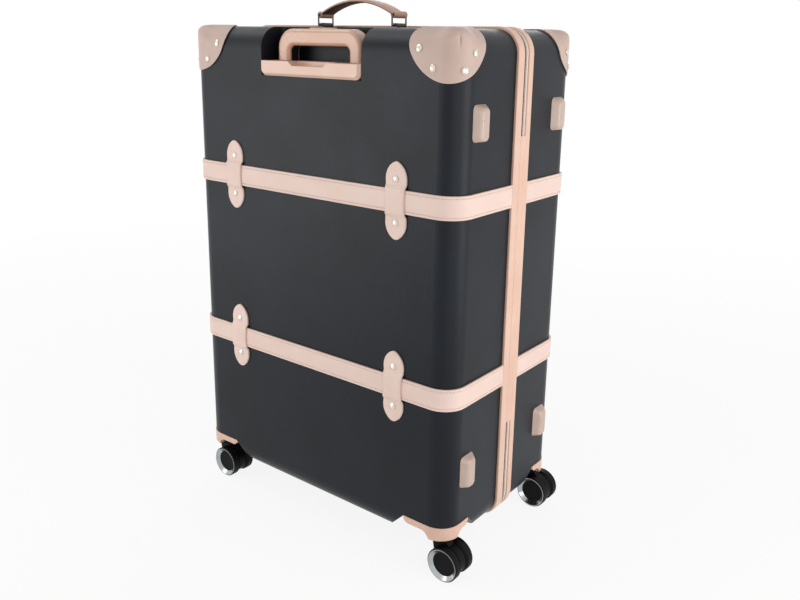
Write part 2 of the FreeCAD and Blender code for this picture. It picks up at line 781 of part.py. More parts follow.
def build_bezel():
    """The bezel at the foot of the recess: it guides the tubes and has a finger scoop in its lip."""
    low = S.recess_floor + S.seat_gap
    lip = -half_depth - S.bezel_proud
    upright, endwise, flat = runs_along("z"), runs_along("y"), lies_across("y")
    middle, front = S.bezel_height.number / 2, lip.number + 1
    body = block("bezel_block", spread(S.bezel_width / 2), (lip, recess_back - S.bezel_gap),
                 (low, bezel_top), S.recess_corner,
                 lambda edge: upright(edge) and edge.BoundBox.YMin > -half_depth.number)
    soften(body, S.bezel_corner, lambda edge: endwise(edge) and edge.BoundBox.ZMax < middle)
    on_edges(body, "Chamfer", lambda edge: flat(edge) and edge.BoundBox.YMax < front
             and edge.BoundBox.ZMin < middle, Size=S.bezel_bevel)
    soften(body, S.bezel_round, lambda edge: edge.BoundBox.YMax < front and edge.BoundBox.ZMin > middle)
    scoop = new_body("scoop")
    sketch = new_sketch(scoop, "XZ")
    bottom, top = S.scoop_width / 2 - S.scoop_slant, S.scoop_width / 2
    draw_outline(sketch, [(-bottom, bezel_top - S.scoop_depth), (bottom, bezel_top - S.scoop_depth),
                          (top, bezel_top + S.seat_gap), (-top, bezel_top + S.seat_gap)])
    pad(scoop, sketch, S.scoop_reach + S.bezel_proud)
    place(scoop, 0, S.scoop_reach - half_depth, 0)
    socket_top = S.recess_floor + S.bezel_socket + S.seat_gap
    sockets = tube_pair("bezel_sockets", S.seat_gap, (low - 1, socket_top), 0)
    guides = tube_pair("bezel_guides", S.tube_gap, (low, bezel_top + 1), 1)
    node("trolley_bezel", cut("bezel_piece", body, scoop, *sockets, *guides))


def build_grip():
    """The moulded grip, open in the middle for the hand, and the push button in its top."""
    wide, hole = S.grip_width / 2, S.grip_width / 2 - S.grip_leg
    arch = S.grip_top - S.grip_bar
    body = new_body("grip_body")
    sketch = new_sketch(body, "XZ")
    draw_outline(sketch, [(-wide, grip_bottom), (-hole, grip_bottom), (-hole, arch), (hole, arch),
                          (hole, grip_bottom), (wide, grip_bottom), (wide, S.grip_top), (-wide, S.grip_top)])
    pad(body, sketch, S.grip_depth, both_ways=True)
    through, around = runs_along("y"), lies_across("y")
    crown, foot = S.grip_top.number - 1, grip_bottom.number + 1
    soften(body, S.grip_corner, lambda edge: through(edge) and edge.BoundBox.ZMin > crown)
    soften(body, S.grip_hole_corner, lambda edge: through(edge) and foot < edge.BoundBox.ZMin < crown)
    soften(body, S.grip_round, lambda edge: around(edge) and edge.BoundBox.ZMax > foot)
    place(body, 0, tube_y, 0)
    sockets = tube_pair("grip_sockets", S.seat_gap, (grip_bottom - 1, grip_bottom + S.grip_socket), 2)
    long, across = S.button_length / 2, S.button_width / 2
    button_low = S.grip_top + S.button_proud - S.button_height
    gap = S.tube_gap
    pocket = box("button_pocket", spread(long, gap), (tube_y - across - gap, tube_y + across + gap),
                 (button_low - S.button_travel - gap, S.grip_top + 1))
    node("trolley_grip", cut("grip_piece", body, pocket, *sockets))
    button = block("button_body", spread(long), (tube_y - across, tube_y + across),
                   (button_low, S.grip_top + S.button_proud), S.button_round,
                   lambda edge: edge.BoundBox.ZMin > S.button_height.number / 2)
    node("trolley_button", button)


# Carry handles: saddles, wire loops and a leather strap between them
def handle_loop():
    """One wire loop: its lower bar on the Y axis, its upper bar held by the strap."""
    half, tall = S.loop_width / 2, S.loop_height
    bars = [cylinder("loop_low_bar", S.wire_radius, S.loop_width, (0, -half, 0), "y"),
            cylinder("loop_high_bar", S.wire_radius, S.loop_width, (0, -half, tall), "y")]
    for side in (1, -1):
        bars.append(cylinder(f"loop_leg_{side + 1}", S.wire_radius, tall, (0, half * side, 0), "z"))
        for name, z in (("low", 0), ("high", tall)):
            bend = doc.addObject("Part::Sphere", f"loop_bend_{name}_{side + 1}")
            bind(bend, Radius=S.wire_radius)
            bars.append(place(bend, 0, half * side, z))
    return fuse("handle_loop", *bars)


def handle_saddle():
    """One saddle that holds a loop's lower bar against the shell."""
    low = S.seat_gap - S.pivot_height
    body = block("saddle_body", spread(S.saddle_length / 2), spread(S.saddle_width / 2),
                 (low, low + S.saddle_height), S.saddle_round,
                 lambda edge: runs_along("y")(edge) and edge.BoundBox.ZMin > S.saddle_height.number / 2)
    bore = cylinder("saddle_bore", S.wire_radius + S.pivot_gap, S.loop_width, (0, -S.loop_width / 2, 0), "y")
    return cut("handle_saddle", body, bore)


def handle_strap():
    """The arched strap: a band between two eyes round the loops' upper bars."""
    half, rise, thick = S.handle_spread.number / 2, S.strap_rise.number, S.strap_thickness.number / 2
    bend = (half ** 2 + rise ** 2) / (2 * rise)
    lean = math.asin(half / bend)
    def on_arc(radius, angle):
        return (radius * math.sin(angle), radius * math.cos(angle) - bend + rise)
    over = [on_arc(bend + thick, angle) for angle in (-lean, 0, lean)]
    under = [on_arc(bend - thick, angle) for angle in (lean, 0, -lean)]
    body = new_body("strap_body")
    band = new_sketch(body, "XZ")
    draw_curves(band, [over, [over[2], under[0]], under, [under[2], over[0]]])
    pad(body, band, S.strap_width, both_ways=True)
    eyes = new_sketch(body, "XZ")
    for side in (1, -1):
        draw_circle(eyes, S.handle_spread / 2 * side, 0, S.strap_eye)
    pad(body, eyes, S.strap_width, both_ways=True)
    bores = [cylinder(f"strap_bore_{side + 1}", S.wire_radius + S.soft_gap, S.loop_width,
                      (S.handle_spread / 2 * side, -S.loop_width / 2, 0), "y") for side in (1, -1)]
    return cut("handle_strap", body, *bores)


def build_handles():
    """The same handle on the top and, laid over, on the zip side of the rear half."""
    loop, saddle, strap = handle_loop(), handle_saddle(), handle_strap()
    half = S.handle_spread / 2
    over, out = shell_top + S.pivot_height, -half_width - S.pivot_height
    aside = turned("y", -90)
    saddles = []
    for name, side in (("zip_side", -1), ("hinge_side", 1)):
        saddles.append(copy_at(f"top_saddle_{name}", saddle, half * side, S.top_handle_y, over))
        node(f"top_loop_{name}", copy_at(f"top_{name}", loop, half * side, S.top_handle_y, over))
    for name, side in (("lower", -1), ("upper", 1)):
        height = side_handle_height + half * side
        saddles.append(copy_at(f"side_saddle_{name}", saddle, out, S.side_handle_y, height, aside))
        node(f"side_loop_{name}", copy_at(f"side_{name}", loop, out, S.side_handle_y, height, aside))
    node("handle_saddles", *saddles)
    node("top_strap", copy_at("top_strap_at", strap, 0, S.top_handle_y, over + S.loop_height))
    node("side_strap", copy_at("side_strap_at", strap, out - S.loop_height, S.side_handle_y,
                               side_handle_height, aside))


# Combination lock and zip sliders on the zip side
def build_lock():
    """The lock case with three dials on a pin and a round release button."""
    back, face = -half_width - S.seat_gap, -half_width - S.lock_proud
    y = (S.lock_y - S.lock_width / 2, S.lock_y + S.lock_width / 2)
    z = (S.lock_middle - S.lock_height / 2, S.lock_middle + S.lock_height / 2)
    case = block("lock_block", (face, back), y, z, S.lock_round,
                 lambda edge: edge.BoundBox.XMin < face.number + 1)
    pin_x = back - S.dial_radius - S.dial_gap
    dial_middle = S.lock_middle + S.dial_rise
    reach = S.dial_radius + S.dial_gap
    slots = []
    for i in (-1, 0, 1):
        middle = dial_middle + i * S.dial_pitch
        thick = (middle - S.dial_width / 2, middle + S.dial_width / 2)
        slots.append(box(f"dial_slot_{i + 1}", (face - 1, back - S.dial_gap / 2),
                         (S.lock_y - reach, S.lock_y + reach),
                         (thick[0] - S.dial_gap, thick[1] + S.dial_gap)))
        wheel = cylinder(f"dial_wheel_{i + 1}", S.dial_radius, S.dial_width,
                         (pin_x, S.lock_y, thick[0]), "z")
        bore = cylinder(f"dial_bore_{i + 1}", S.dial_pin + S.running_fit, S.dial_width + 2,
                        (pin_x, S.lock_y, thick[0] - 1), "z")
        node(f"lock_dial_{i + 2}", cut(f"dial_{i + 1}", wheel, bore))
    pin_low = dial_middle - 2 * S.dial_pitch + S.dial_width / 2
    pin_length = 4 * S.dial_pitch - S.dial_width
    pin = cylinder("dial_pin_bar", S.dial_pin, pin_length, (pin_x, S.lock_y, pin_low), "z")
    button_z = S.lock_middle - S.lock_button_drop
    inner = face - S.lock_button_proud + S.lock_button_height
    well = cylinder("lock_button_well", S.lock_button_radius + S.dial_gap, S.lock_proud,
                    (inner + S.lock_button_travel + S.dial_gap - S.lock_proud, S.lock_y, button_z), "x")
    node("lock_case", fuse("lock_case_piece", cut("lock_shell", case, *slots, well), pin))
    node("lock_button", cylinder("lock_button_piece", S.lock_button_radius, S.lock_button_height,
                                 (face - S.lock_button_proud, S.lock_y, button_z), "x"))


def build_sliders():
    """Two zip sliders that meet beside the lock, each with a pull tab over the rear trim."""
    under = -half_width - S.zip_tape_proud - S.zip_coil_height - S.soft_gap
    tab_in = -rim_face - S.soft_gap
    tab_neck = (S.parting_y - S.slider_width).number
    flatwise = runs_along("x")
    for name, up in (("lower", -1), ("upper", 1)):
        middle = S.lock_middle + S.slider_spacing / 2 * up
        body = block(f"slider_{name}_body", (under - S.slider_height, under),
                     (S.parting_y - S.slider_width / 2, S.parting_y + S.slider_width / 2),
                     (middle - S.slider_length / 2, middle + S.slider_length / 2), S.slider_round,
                     runs_along("z"))
        tab = block(f"slider_{name}_tab", (tab_in - S.tab_thickness, tab_in),
                    (S.parting_y - S.tab_length, S.parting_y),
                    (middle - S.tab_width / 2, middle + S.tab_width / 2), S.tab_thickness,
                    lambda edge: flatwise(edge) and edge.BoundBox.YMax < tab_neck)
        node(f"zip_slider_{name}", fuse(f"slider_{name}", body, tab))


# Corner housings and casters
def wheel_housing():
    """The rear hinge-side housing: two arms along the shell's cut edge and a boss for the swivel stem."""
    out = S.arm_proud
    top = S.well_top - S.seat_gap
    x = (half_width - S.well_length + S.seat_gap, half_width + out)
    y = (-half_depth - out, S.well_width - half_depth - S.seat_gap)
    corner = block("housing_block", x, y, (S.boss_bottom, top), S.edge_radius + out,
                   lambda edge: runs_along("z")(edge) and edge.BoundBox.XMax > half_width.number
                   and edge.BoundBox.YMin < -half_depth.number)
    soften(corner, S.housing_round, lambda edge: lies_across("z")(edge) and edge.BoundBox.ZMax < 1e-6)
    boss_x, boss_y = half_width - S.boss_size, S.boss_size - half_depth
    low = S.boss_bottom - S.arm_fillet
    under = (low, S.arm_bottom)
    past_x, past_y = (x[0] - 1, x[1] + 1), (y[0] - 1, y[1] + 1)
    under_arm_x = box("under_arm_x", (past_x[0], boss_x - S.arm_fillet), past_y, under)
    under_arm_y = box("under_arm_y", past_x, (boss_y + S.arm_fillet, past_y[1]), under)
    round_x = cylinder("round_x", S.arm_fillet, S.shell_depth,
                       (boss_x - S.arm_fillet, -S.shell_depth, S.arm_bottom - S.arm_fillet), "y")
    round_y = cylinder("round_y", S.arm_fillet, S.shell_width,
                       (0, boss_y + S.arm_fillet, S.arm_bottom - S.arm_fillet), "x")
    bore = cylinder("stem_bore", S.stem_radius + S.running_fit, S.stem_length + 2,
                    (swivel_x, -swivel_y, S.boss_bottom - 1), "z")
    tip_x, tip_y, tip_z = x[0] + S.arm_tip, y[1] - S.arm_tip, S.arm_bottom + S.arm_tip
    past_tip_x = cut("past_tip_x", box("tip_corner_x", (past_x[0], tip_x), past_y, (low, tip_z)),
                     cylinder("tip_round_x", S.arm_tip, S.shell_depth, (tip_x, -S.shell_depth, tip_z), "y"))
    past_tip_y = cut("past_tip_y", box("tip_corner_y", past_x, (tip_y, past_y[1]), (low, tip_z)),
                     cylinder("tip_round_y", S.arm_tip, S.shell_width, (0, tip_y, tip_z), "x"))
    return cut("housing", corner, under_arm_x, under_arm_y, round_x, round_y, bore, past_tip_x, past_tip_y)


def build_housings():
    """Four housings, mirrored to the four corners."""
    hinge_side = wheel_housing()
    zip_side = mirrored("housing_zip_side", hinge_side, "x")
    node("rear_wheel_housings", hinge_side, zip_side)
    node("front_wheel_housings", mirrored("front_housing_hinge_side", hinge_side, "y"),
         mirrored("front_housing_zip_side", zip_side, "y"))


def caster_fork():
    """The swivel fork: a round blade between the wheels, a neck, a swivel plate and a stem."""
    plate_top = S.boss_bottom - S.swivel_gap
    plate_low = plate_top - S.swivel_plate_thickness
    half = S.fork_width / 2
    blade = cylinder("fork_blade", S.fork_radius, S.fork_width, (S.trail, -half, S.wheel_radius), "y")
    neck = new_body("fork_neck_body")
    sketch = new_sketch(neck, "XZ")
    middle = S.wheel_radius
    draw_outline(sketch, [(-S.fork_neck, plate_low), (S.trail - S.fork_radius, middle), (S.trail, middle),
                          (S.trail + S.fork_neck, middle + S.fork_neck), (S.fork_neck, plate_low)])
    pad(neck, sketch, S.fork_width, both_ways=True)
    plate = cylinder("fork_plate", S.swivel_plate_radius, S.swivel_plate_thickness, (0, 0, plate_low), "z")
    stem_low = plate_low + S.swivel_plate_thickness / 2
    stem = cylinder("fork_stem", S.stem_radius, S.stem_length, (0, 0, stem_low), "z")
    bore = cylinder("fork_bore", S.axle_radius + S.running_fit, S.fork_width + 2,
                    (S.trail, -half - 1, S.wheel_radius), "y")
    return cut("fork", fuse("fork_solid", blade, neck, plate, stem), bore)


def spun(name, profile):
    """A solid turned about the axle from a profile of (radius, distance along the axle) corners."""
    body = new_body(name)
    sketch = new_sketch(body, "XY")
    draw_outline(sketch, profile)
    turn = body.newObject("PartDesign::Revolution", f"{name}_turn")
    turn.Profile = sketch
    turn.ReferenceAxis = (sketch, ["V_Axis"])
    doc.recompute()
    return place(body, S.trail, 0, S.wheel_radius)


def build_casters():
    """Four casters: fork, axle, two wheels and two bright rings each, axles along Y as they stand."""
    near = S.fork_width / 2 + S.wheel_gap
    far = near + S.wheel_width
    bore = S.axle_radius + S.running_fit
    hub = far - S.hub_skin
    seat = S.ring_depth + S.seat_gap
    hub_face = far - S.ring_depth + S.ring_lip
    edge = S.wheel_radius - S.wheel_round
    wheel = spun("wheel", [
        (0, hub), (bore, hub), (bore, near), (edge, near), (S.wheel_radius, near + S.wheel_round),
        (S.wheel_radius, far - S.wheel_round / 2), (S.wheel_radius - S.wheel_round / 2, far),
        (S.ring_outer + S.seat_gap, far), (S.ring_outer + S.seat_gap, far - seat),
        (S.ring_inner - S.seat_gap, far - seat), (S.ring_inner - S.seat_gap, hub_face), (0, hub_face)])
    ring = spun("bright_ring", [
        (S.ring_inner, far - S.ring_depth), (S.ring_outer, far - S.ring_depth), (S.ring_outer, far),
        (S.ring_outer - S.ring_lip, far), (S.ring_inner, hub_face)])
    axle_end = hub - S.soft_gap
    axle = cylinder("axle", S.axle_radius, 2 * axle_end, (S.trail, -axle_end, S.wheel_radius), "y")
    fork = caster_fork()
    pieces = {
        "fork": [fork],
        "axle": [axle],
        "wheels": [wheel, mirrored("wheel_other", wheel, "y")],
        "rings": [ring, mirrored("bright_ring_other", ring, "y")],
    }
    halves, edges = {REAR: "rear", FRONT: "front"}, {ZIP_SIDE: "zip", HINGE_SIDE: "hinge"}
    for depth_side, width_side in SIDES:
        corner = f"{halves[depth_side]}_{edges[width_side]}"
        at = (width_side * swivel_x, depth_side * swivel_y)
        for name, solids in pieces.items():
            label = f"caster_{corner}_{name}"
            node(label, *(copy_at(f"{label}_{i}", solid, *at) for i, solid in enumerate(solids)))


build_shells()
build_linings()
build_edges()
build_belts()
build_keepers()
build_caps()
build_feet()
build_tubes()
build_bezel()
build_grip()
build_handles()
build_lock()
build_sliders()
build_housings()
build_casters()
doc.recompute()

for thing in doc.Objects:
    if "Invalid" in thing.State or "Error" in thing.State:
        raise RuntimeError(f"{thing.Name} failed: {thing.State}")
for thing in nodes:
    if thing.Shape.isNull() or not thing.Shape.isValid() or not thing.Shape.Solids:
        raise RuntimeError(f"{thing.Label} has no sound shape")

os.makedirs("parts", exist_ok=True)
for thing in nodes:
    thing.Shape.exportStep(f"parts/{thing.Label}.step")
    print(thing.Label, len(thing.Shape.Solids), "solids", round(thing.Shape.Volume / 1000, 1), "cm3")
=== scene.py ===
"""Dress the trunk-style trolley case: leather, stitches, zip teeth, linings, finishes and a white studio."""
from __future__ import annotations

import logging
import math
from dataclasses import dataclass, field
from enum import Enum
from typing import Callable, ClassVar, Iterable, Optional, Sequence

import bmesh
import bpy
from mathutils import Matrix, Vector

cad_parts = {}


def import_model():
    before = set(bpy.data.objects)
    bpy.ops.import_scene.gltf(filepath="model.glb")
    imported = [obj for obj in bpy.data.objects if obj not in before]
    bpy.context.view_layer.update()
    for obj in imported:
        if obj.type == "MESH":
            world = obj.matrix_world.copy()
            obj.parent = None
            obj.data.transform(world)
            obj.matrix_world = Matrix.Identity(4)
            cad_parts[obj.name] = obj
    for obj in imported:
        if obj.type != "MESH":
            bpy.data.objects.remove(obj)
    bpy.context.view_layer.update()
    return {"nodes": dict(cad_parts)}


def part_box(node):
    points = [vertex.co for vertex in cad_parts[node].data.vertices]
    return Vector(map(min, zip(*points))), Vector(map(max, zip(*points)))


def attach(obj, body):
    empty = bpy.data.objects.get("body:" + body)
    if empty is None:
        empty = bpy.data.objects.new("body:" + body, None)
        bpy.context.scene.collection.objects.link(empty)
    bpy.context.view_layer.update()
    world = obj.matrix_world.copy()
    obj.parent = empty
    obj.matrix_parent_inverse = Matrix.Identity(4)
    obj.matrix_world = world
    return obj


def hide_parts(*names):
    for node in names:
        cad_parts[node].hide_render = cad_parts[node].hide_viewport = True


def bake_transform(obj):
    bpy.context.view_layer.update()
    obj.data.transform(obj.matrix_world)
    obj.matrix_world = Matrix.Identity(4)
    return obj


MM = 0.001
# The gap between a piece and what it lies on
SEAT = 0.1 * MM
# How far the middle of a small rounding stays off the sharp corner, as a share of its radius
ROUND_MIDDLE = 0.3
# Where most values of a noise lie
NOISE_LOW, NOISE_HIGH = 0.3, 0.7
# How often a search halves its range
HALVINGS = 40
LOG = logging.getLogger("suitcase")

Tree = bpy.types.NodeTree
Node = bpy.types.Node
Socket = bpy.types.NodeSocket
Thing = bpy.types.Object
Section = list[tuple[float, float]]
Path = list[tuple[Vector, Vector]]


class Half(Enum):
    """The two halves of the case, each with the side of Y that it faces."""

    REAR = -1
    FRONT = 1

    @property
    def body(self) -> str:
        """The body that this half's pieces ride on."""
        return f"{self.name.lower()}_half"

    def named(self, piece: str) -> str:
        """The name of this half's own piece."""
        return f"{self.name.lower()}_{piece}"


# Reckoning
def eased(share: float) -> float:
    """Turn an even share, held between 0 and 1, into one that starts and ends softly."""
    share = min(1.0, max(0.0, share))
    return share * share * (3 - 2 * share)


def outward(heading: Vector) -> float:
    """The length of the part of a direction that points outwards."""
    return Vector([max(part, 0.0) for part in heading]).length


def past_corner(first: float, second: float) -> float:
    """How far a place is past a square corner, from how far it is past each of its two sides."""
    return math.hypot(max(first, 0.0), max(second, 0.0)) + min(max(first, second), 0.0)


def rounded_off(near: float, radius: float) -> float:
    """How far a rounded edge has dropped, at a distance from where it ends."""
    left = radius - min(radius, near)
    return radius - math.sqrt(radius ** 2 - left ** 2)


def turned(first: float, last: float, steps: int) -> list[tuple[float, float]]:
    """Give the cosine and the sine at even steps from one angle in degrees to another."""
    turns = [math.radians(first + (last - first) * step / steps) for step in range(steps + 1)]
    return [(math.cos(turn), math.sin(turn)) for turn in turns]


def mirrored(points: Section) -> Section:
    """Give the other half of a section, whose points are measured across from its middle."""
    return [(-across, stand) for across, stand in reversed(points)]


def band(inner: float, outer: float, half: float, soft: float) -> Section:
    """Give a flat band's section, softened at its outer edges: how far across and how far out."""
    side = [(-half, inner), (-half, outer - soft), (soft - half, outer)]
    return side + mirrored(side)


def last_inside(inside: Callable[[float], bool], low: float, high: float) -> float:
    """Close in on the last value of a range for which a test holds.

    Args:
        inside: the test, which holds up to some value and not after it.
        low: where the range starts.
        high: where it ends.

    Returns:
        The last value inside.
    """
    for _ in range(HALVINGS):
        middle = (low + high) / 2
        if inside(middle):
            low = middle
        else:
            high = middle
    return low


def linear(colour: str) -> tuple[float, ...]:
    """Turn an sRGB hex colour, "#rrggbb", into linear red, green and blue with an alpha of one."""
    parts = [int(colour[i:i + 2], 16) / 255 for i in (1, 3, 5)]
    return (*(p / 12.92 if p <= 0.04045 else ((p + 0.055) / 1.055) ** 2.4 for p in parts), 1.0)


# Nodes and objects
def add(tree: Tree, kind: str, inputs: Optional[dict] = None, **settings: object) -> Node:
    """Add a node with its settings, values and links.

    Args:
        tree: the tree that gets the node.
        kind: the node's type.
        inputs: each input's name or number, with its value or the output that feeds it.
        settings: the node's own properties.

    Returns:
        The new node.
    """
    node = tree.nodes.new(kind)
    for name, value in settings.items():
        setattr(node, name, value)
    for key, value in (inputs or {}).items():
        if isinstance(value, Socket):
            tree.links.new(value, node.inputs[key])
        else:
            node.inputs[key].default_value = value
    return node


def cleared(owner: bpy.types.ID) -> Tree:
    """Empty the node tree of a new material or world.

    Args:
        owner: the material or world.

    Returns:
        The tree.
    """
    owner.use_nodes = True
    owner.node_tree.nodes.clear()
    return owner.node_tree


def linked(name: str, data: bpy.types.ID) -> Thing:
    """Put a new object into the scene.

    Args:
        name: the object's name.
        data: its mesh, lamp or camera.

    Returns:
        The object.
    """
    thing = bpy.data.objects.new(name, data)
    bpy.context.scene.collection.objects.link(thing)
    return thing


# Finishes
@dataclass(frozen=True)
class Surface:
    """A material's node tree while a finish fills it, with the place on the object in metres."""

    tree: Tree
    where: Socket
    shader: Node

    def feed(self, name: str, value: Socket) -> None:
        """Let one of the shader's inputs follow a pattern."""
        self.tree.links.new(value, self.shader.inputs[name])

    def patches(self, size: float, detail: float, low: float = 0.0, high: float = 1.0) -> Socket:
        """Give soft random patches.

        Args:
            size: the patches' size in metres.
            detail: how many finer layers they have.
            low: the value in the lowest patches.
            high: the value in the highest.

        Returns:
            The value at each place.
        """
        noise = add(self.tree, "ShaderNodeTexNoise",
                    {"Vector": self.where, "Scale": 1 / size, "Detail": detail})
        spread = add(self.tree, "ShaderNodeMapRange",
                     {"Value": noise.outputs["Fac"], "From Min": NOISE_LOW, "From Max": NOISE_HIGH,
                      "To Min": low, "To Max": high})
        return spread.outputs["Result"]


@dataclass(frozen=True)
class Finish:
    """A surface with a colour that varies towards another shade, a gloss and a relief of some grain.

    Each kind has the size of its patches of colour and of gloss, how far its roughness goes to either side,
    how many finer layers its patches and its grain have, and how high its relief stands.
    """

    name: str
    colour: str
    roughness: float
    shade: str
    grain: float
    specular: float = field(default=0.5, kw_only=True)
    colour_patch: ClassVar[float]
    colour_detail: ClassVar[float] = 2.0
    gloss_patch: ClassVar[float]
    gloss_detail: ClassVar[float] = 3.0
    gloss_spread: ClassVar[float] = 0.0
    grain_detail: ClassVar[float]
    depth: ClassVar[float]

    def material(self) -> bpy.types.Material:
        """Make this finish's material when it is first asked for.

        Returns:
            The material.
        """
        known = bpy.data.materials.get(self.name)
        if known is not None:
            return known
        material = bpy.data.materials.new(self.name)
        tree = cleared(material)
        shader = add(tree, "ShaderNodeBsdfPrincipled", self.plain_values())
        add(tree, "ShaderNodeOutputMaterial", {"Surface": shader.outputs["BSDF"]})
        self.fill(Surface(tree, self.place(tree), shader))
        return material

    def plain_values(self) -> dict[str, object]:
        """Give the shader's inputs that are the same all over."""
        return {"Base Color": linear(self.colour), "Roughness": self.roughness,
                "Specular IOR Level": self.specular}

    def place(self, tree: Tree) -> Socket:
        """Give the place on the object in metres."""
        return add(tree, "ShaderNodeTexCoord").outputs["Object"]

    def fill(self, surface: Surface) -> None:
        """Let colour, gloss and relief follow their patterns.

        Args:
            surface: the material's tree.
        """
        height = self.height(surface)
        surface.feed("Base Color", self.tint(surface, height))
        if self.gloss_spread > 0:
            gloss = surface.patches(self.gloss_patch, self.gloss_detail, self.roughness - self.gloss_spread,
                                    self.roughness + self.gloss_spread)
            surface.feed("Roughness", gloss)
        bump = add(surface.tree, "ShaderNodeBump",
                   {"Height": height, "Distance": self.depth, "Strength": 1.0})
        surface.feed("Normal", bump.outputs["Normal"])

    def height(self, surface: Surface) -> Socket:
        """Give the relief, in which 1 stands as high as this kind's depth: here an uneven skin."""
        fine = {"Vector": surface.where, "Scale": 1 / self.grain, "Detail": self.grain_detail}
        return add(surface.tree, "ShaderNodeTexNoise", fine).outputs["Fac"]

    def tint(self, surface: Surface, height: Socket) -> Socket:
        """Vary the colour towards the other shade, here in soft patches; the cloth instead paints shade into
        its weave by the relief.
        """
        ends = {0: surface.patches(self.colour_patch, self.colour_detail), 6: linear(self.colour),
                7: linear(self.shade)}
        return add(surface.tree, "ShaderNodeMix", ends, data_type="RGBA").outputs[2]


@dataclass(frozen=True)
class Unrolled(Finish):
    """A finish with a diagonal lattice that runs round the case's walls, as a sheet wrapped round them."""

    middle: float = field(kw_only=True)
    # A face counts as level from this upward or downward share of its normal
    level_from: ClassVar[float] = 0.7

    def height(self, surface: Surface) -> Socket:
        """Give the lattice, continuous round the upright edges.

        Args:
            surface: the material's tree.

        Returns:
            Waves along the sheet times waves across it, from 0 to 1.
        """
        tree = surface.tree
        x, y, z = add(tree, "ShaderNodeSeparateXYZ", {0: surface.where}).outputs
        normal = add(tree, "ShaderNodeNewGeometry").outputs["Normal"]
        facing = add(tree, "ShaderNodeSeparateXYZ", {0: normal}).outputs["Z"]
        off = add(tree, "ShaderNodeMath", {0: x, 1: self.middle}, operation="SUBTRACT").outputs[0]
        steep, wide, deep = (add(tree, "ShaderNodeMath", {0: value}, operation="ABSOLUTE").outputs[0]
                             for value in (facing, off, y))
        level = add(tree, "ShaderNodeMath", {0: steep, 1: self.level_from},
                    operation="GREATER_THAN").outputs[0]
        around = add(tree, "ShaderNodeMath", {0: wide, 1: deep}, operation="SUBTRACT").outputs[0]
        waves = []
        for upright, flat in ((around, off), (z, y)):
            along = add(tree, "ShaderNodeMix", {0: level, 2: upright, 3: flat}).outputs[0]
            turns = add(tree, "ShaderNodeMath", {0: along, 1: math.tau / self.grain}, operation="MULTIPLY")
            waves.append(add(tree, "ShaderNodeMath", {0: turns.outputs[0]}, operation="COSINE").outputs[0])
        cells = add(tree, "ShaderNodeMath", dict(enumerate(waves)), operation="MULTIPLY").outputs[0]
        raised = add(tree, "ShaderNodeMapRange", {"Value": cells, "From Min": -1.0, "From Max": 1.0})
        return raised.outputs["Result"]


@dataclass(frozen=True)
class EmbossedSheet(Unrolled):
    """ABS sheet, vacuum-formed from an embossed roll: satin black with small raised dots."""

    colour_patch = 90 * MM
    gloss_patch = 90 * MM
    gloss_spread = 0.03
    depth = 0.2 * MM


@dataclass(frozen=True)
class WovenCloth(Unrolled):
    """Polyester cloth in plain weave: matt, with threads drawn coarser than real so that they show."""

    sheen = 0.2
    depth = 0.2 * MM

    def plain_values(self) -> dict[str, object]:
        """Add the sheen of loose fibres."""
        return {**super().plain_values(), "Sheen Weight": self.sheen}

    def tint(self, surface: Surface, height: Socket) -> Socket:
        """Paint shade on the threads that lie under others: the weave's low points take the darker second
        colour.
        """
        ends = {0: height, 6: linear(self.shade), 7: linear(self.colour)}
        return add(surface.tree, "ShaderNodeMix", ends, data_type="RGBA").outputs[2]


@dataclass(frozen=True)
class GrainedLeather(Finish):
    """Pigmented split leather, plated with a pebble grain: soft, even colour broken up into tiny cells."""

    grain: float = 1.3 * MM
    softness = 0.4
    fold = 9 * MM
    fold_detail = 3.0
    colour_patch = 45 * MM
    gloss_patch = 20 * MM
    gloss_spread = 0.05
    depth = 0.18 * MM

    def height(self, surface: Surface) -> Socket:
        """Press pebbles into soft folds.

        Args:
            surface: the material's tree.

        Returns:
            The folds less the pebbles' edges.
        """
        tree, where = surface.tree, surface.where
        pebbles = add(tree, "ShaderNodeTexVoronoi",
                      {"Vector": where, "Scale": 1 / self.grain, "Smoothness": self.softness},
                      feature="SMOOTH_F1")
        folds = add(tree, "ShaderNodeTexNoise",
                    {"Vector": where, "Scale": 1 / self.fold, "Detail": self.fold_detail})
        pressed = {0: folds.outputs["Fac"], 1: pebbles.outputs["Distance"]}
        return add(tree, "ShaderNodeMath", pressed, operation="SUBTRACT").outputs[0]


@dataclass(frozen=True)
class Lacquer(Finish):
    """Moulded ABS under a clear-coated paint: smooth and glossy, with a faint orange peel."""

    grain: float = 2.5 * MM
    coat: float = 0.5
    coat_roughness = 0.12
    colour_patch = 30 * MM
    gloss_patch = 12 * MM
    gloss_spread = 0.05
    grain_detail = 2.0
    depth = 0.03 * MM

    def plain_values(self) -> dict[str, object]:
        """Add the clear coat."""
        return {**super().plain_values(), "Coat Weight": self.coat, "Coat Roughness": self.coat_roughness}


@dataclass(frozen=True)
class MouldedPlastic(Finish):
    """Injection-moulded plastic from a spark-eroded mould: an even satin skin of very fine grit."""

    grain: float = 0.8 * MM
    colour_patch = 18 * MM
    gloss_patch = 10 * MM
    gloss_spread = 0.06
    grain_detail = 3.0
    depth = 0.05 * MM


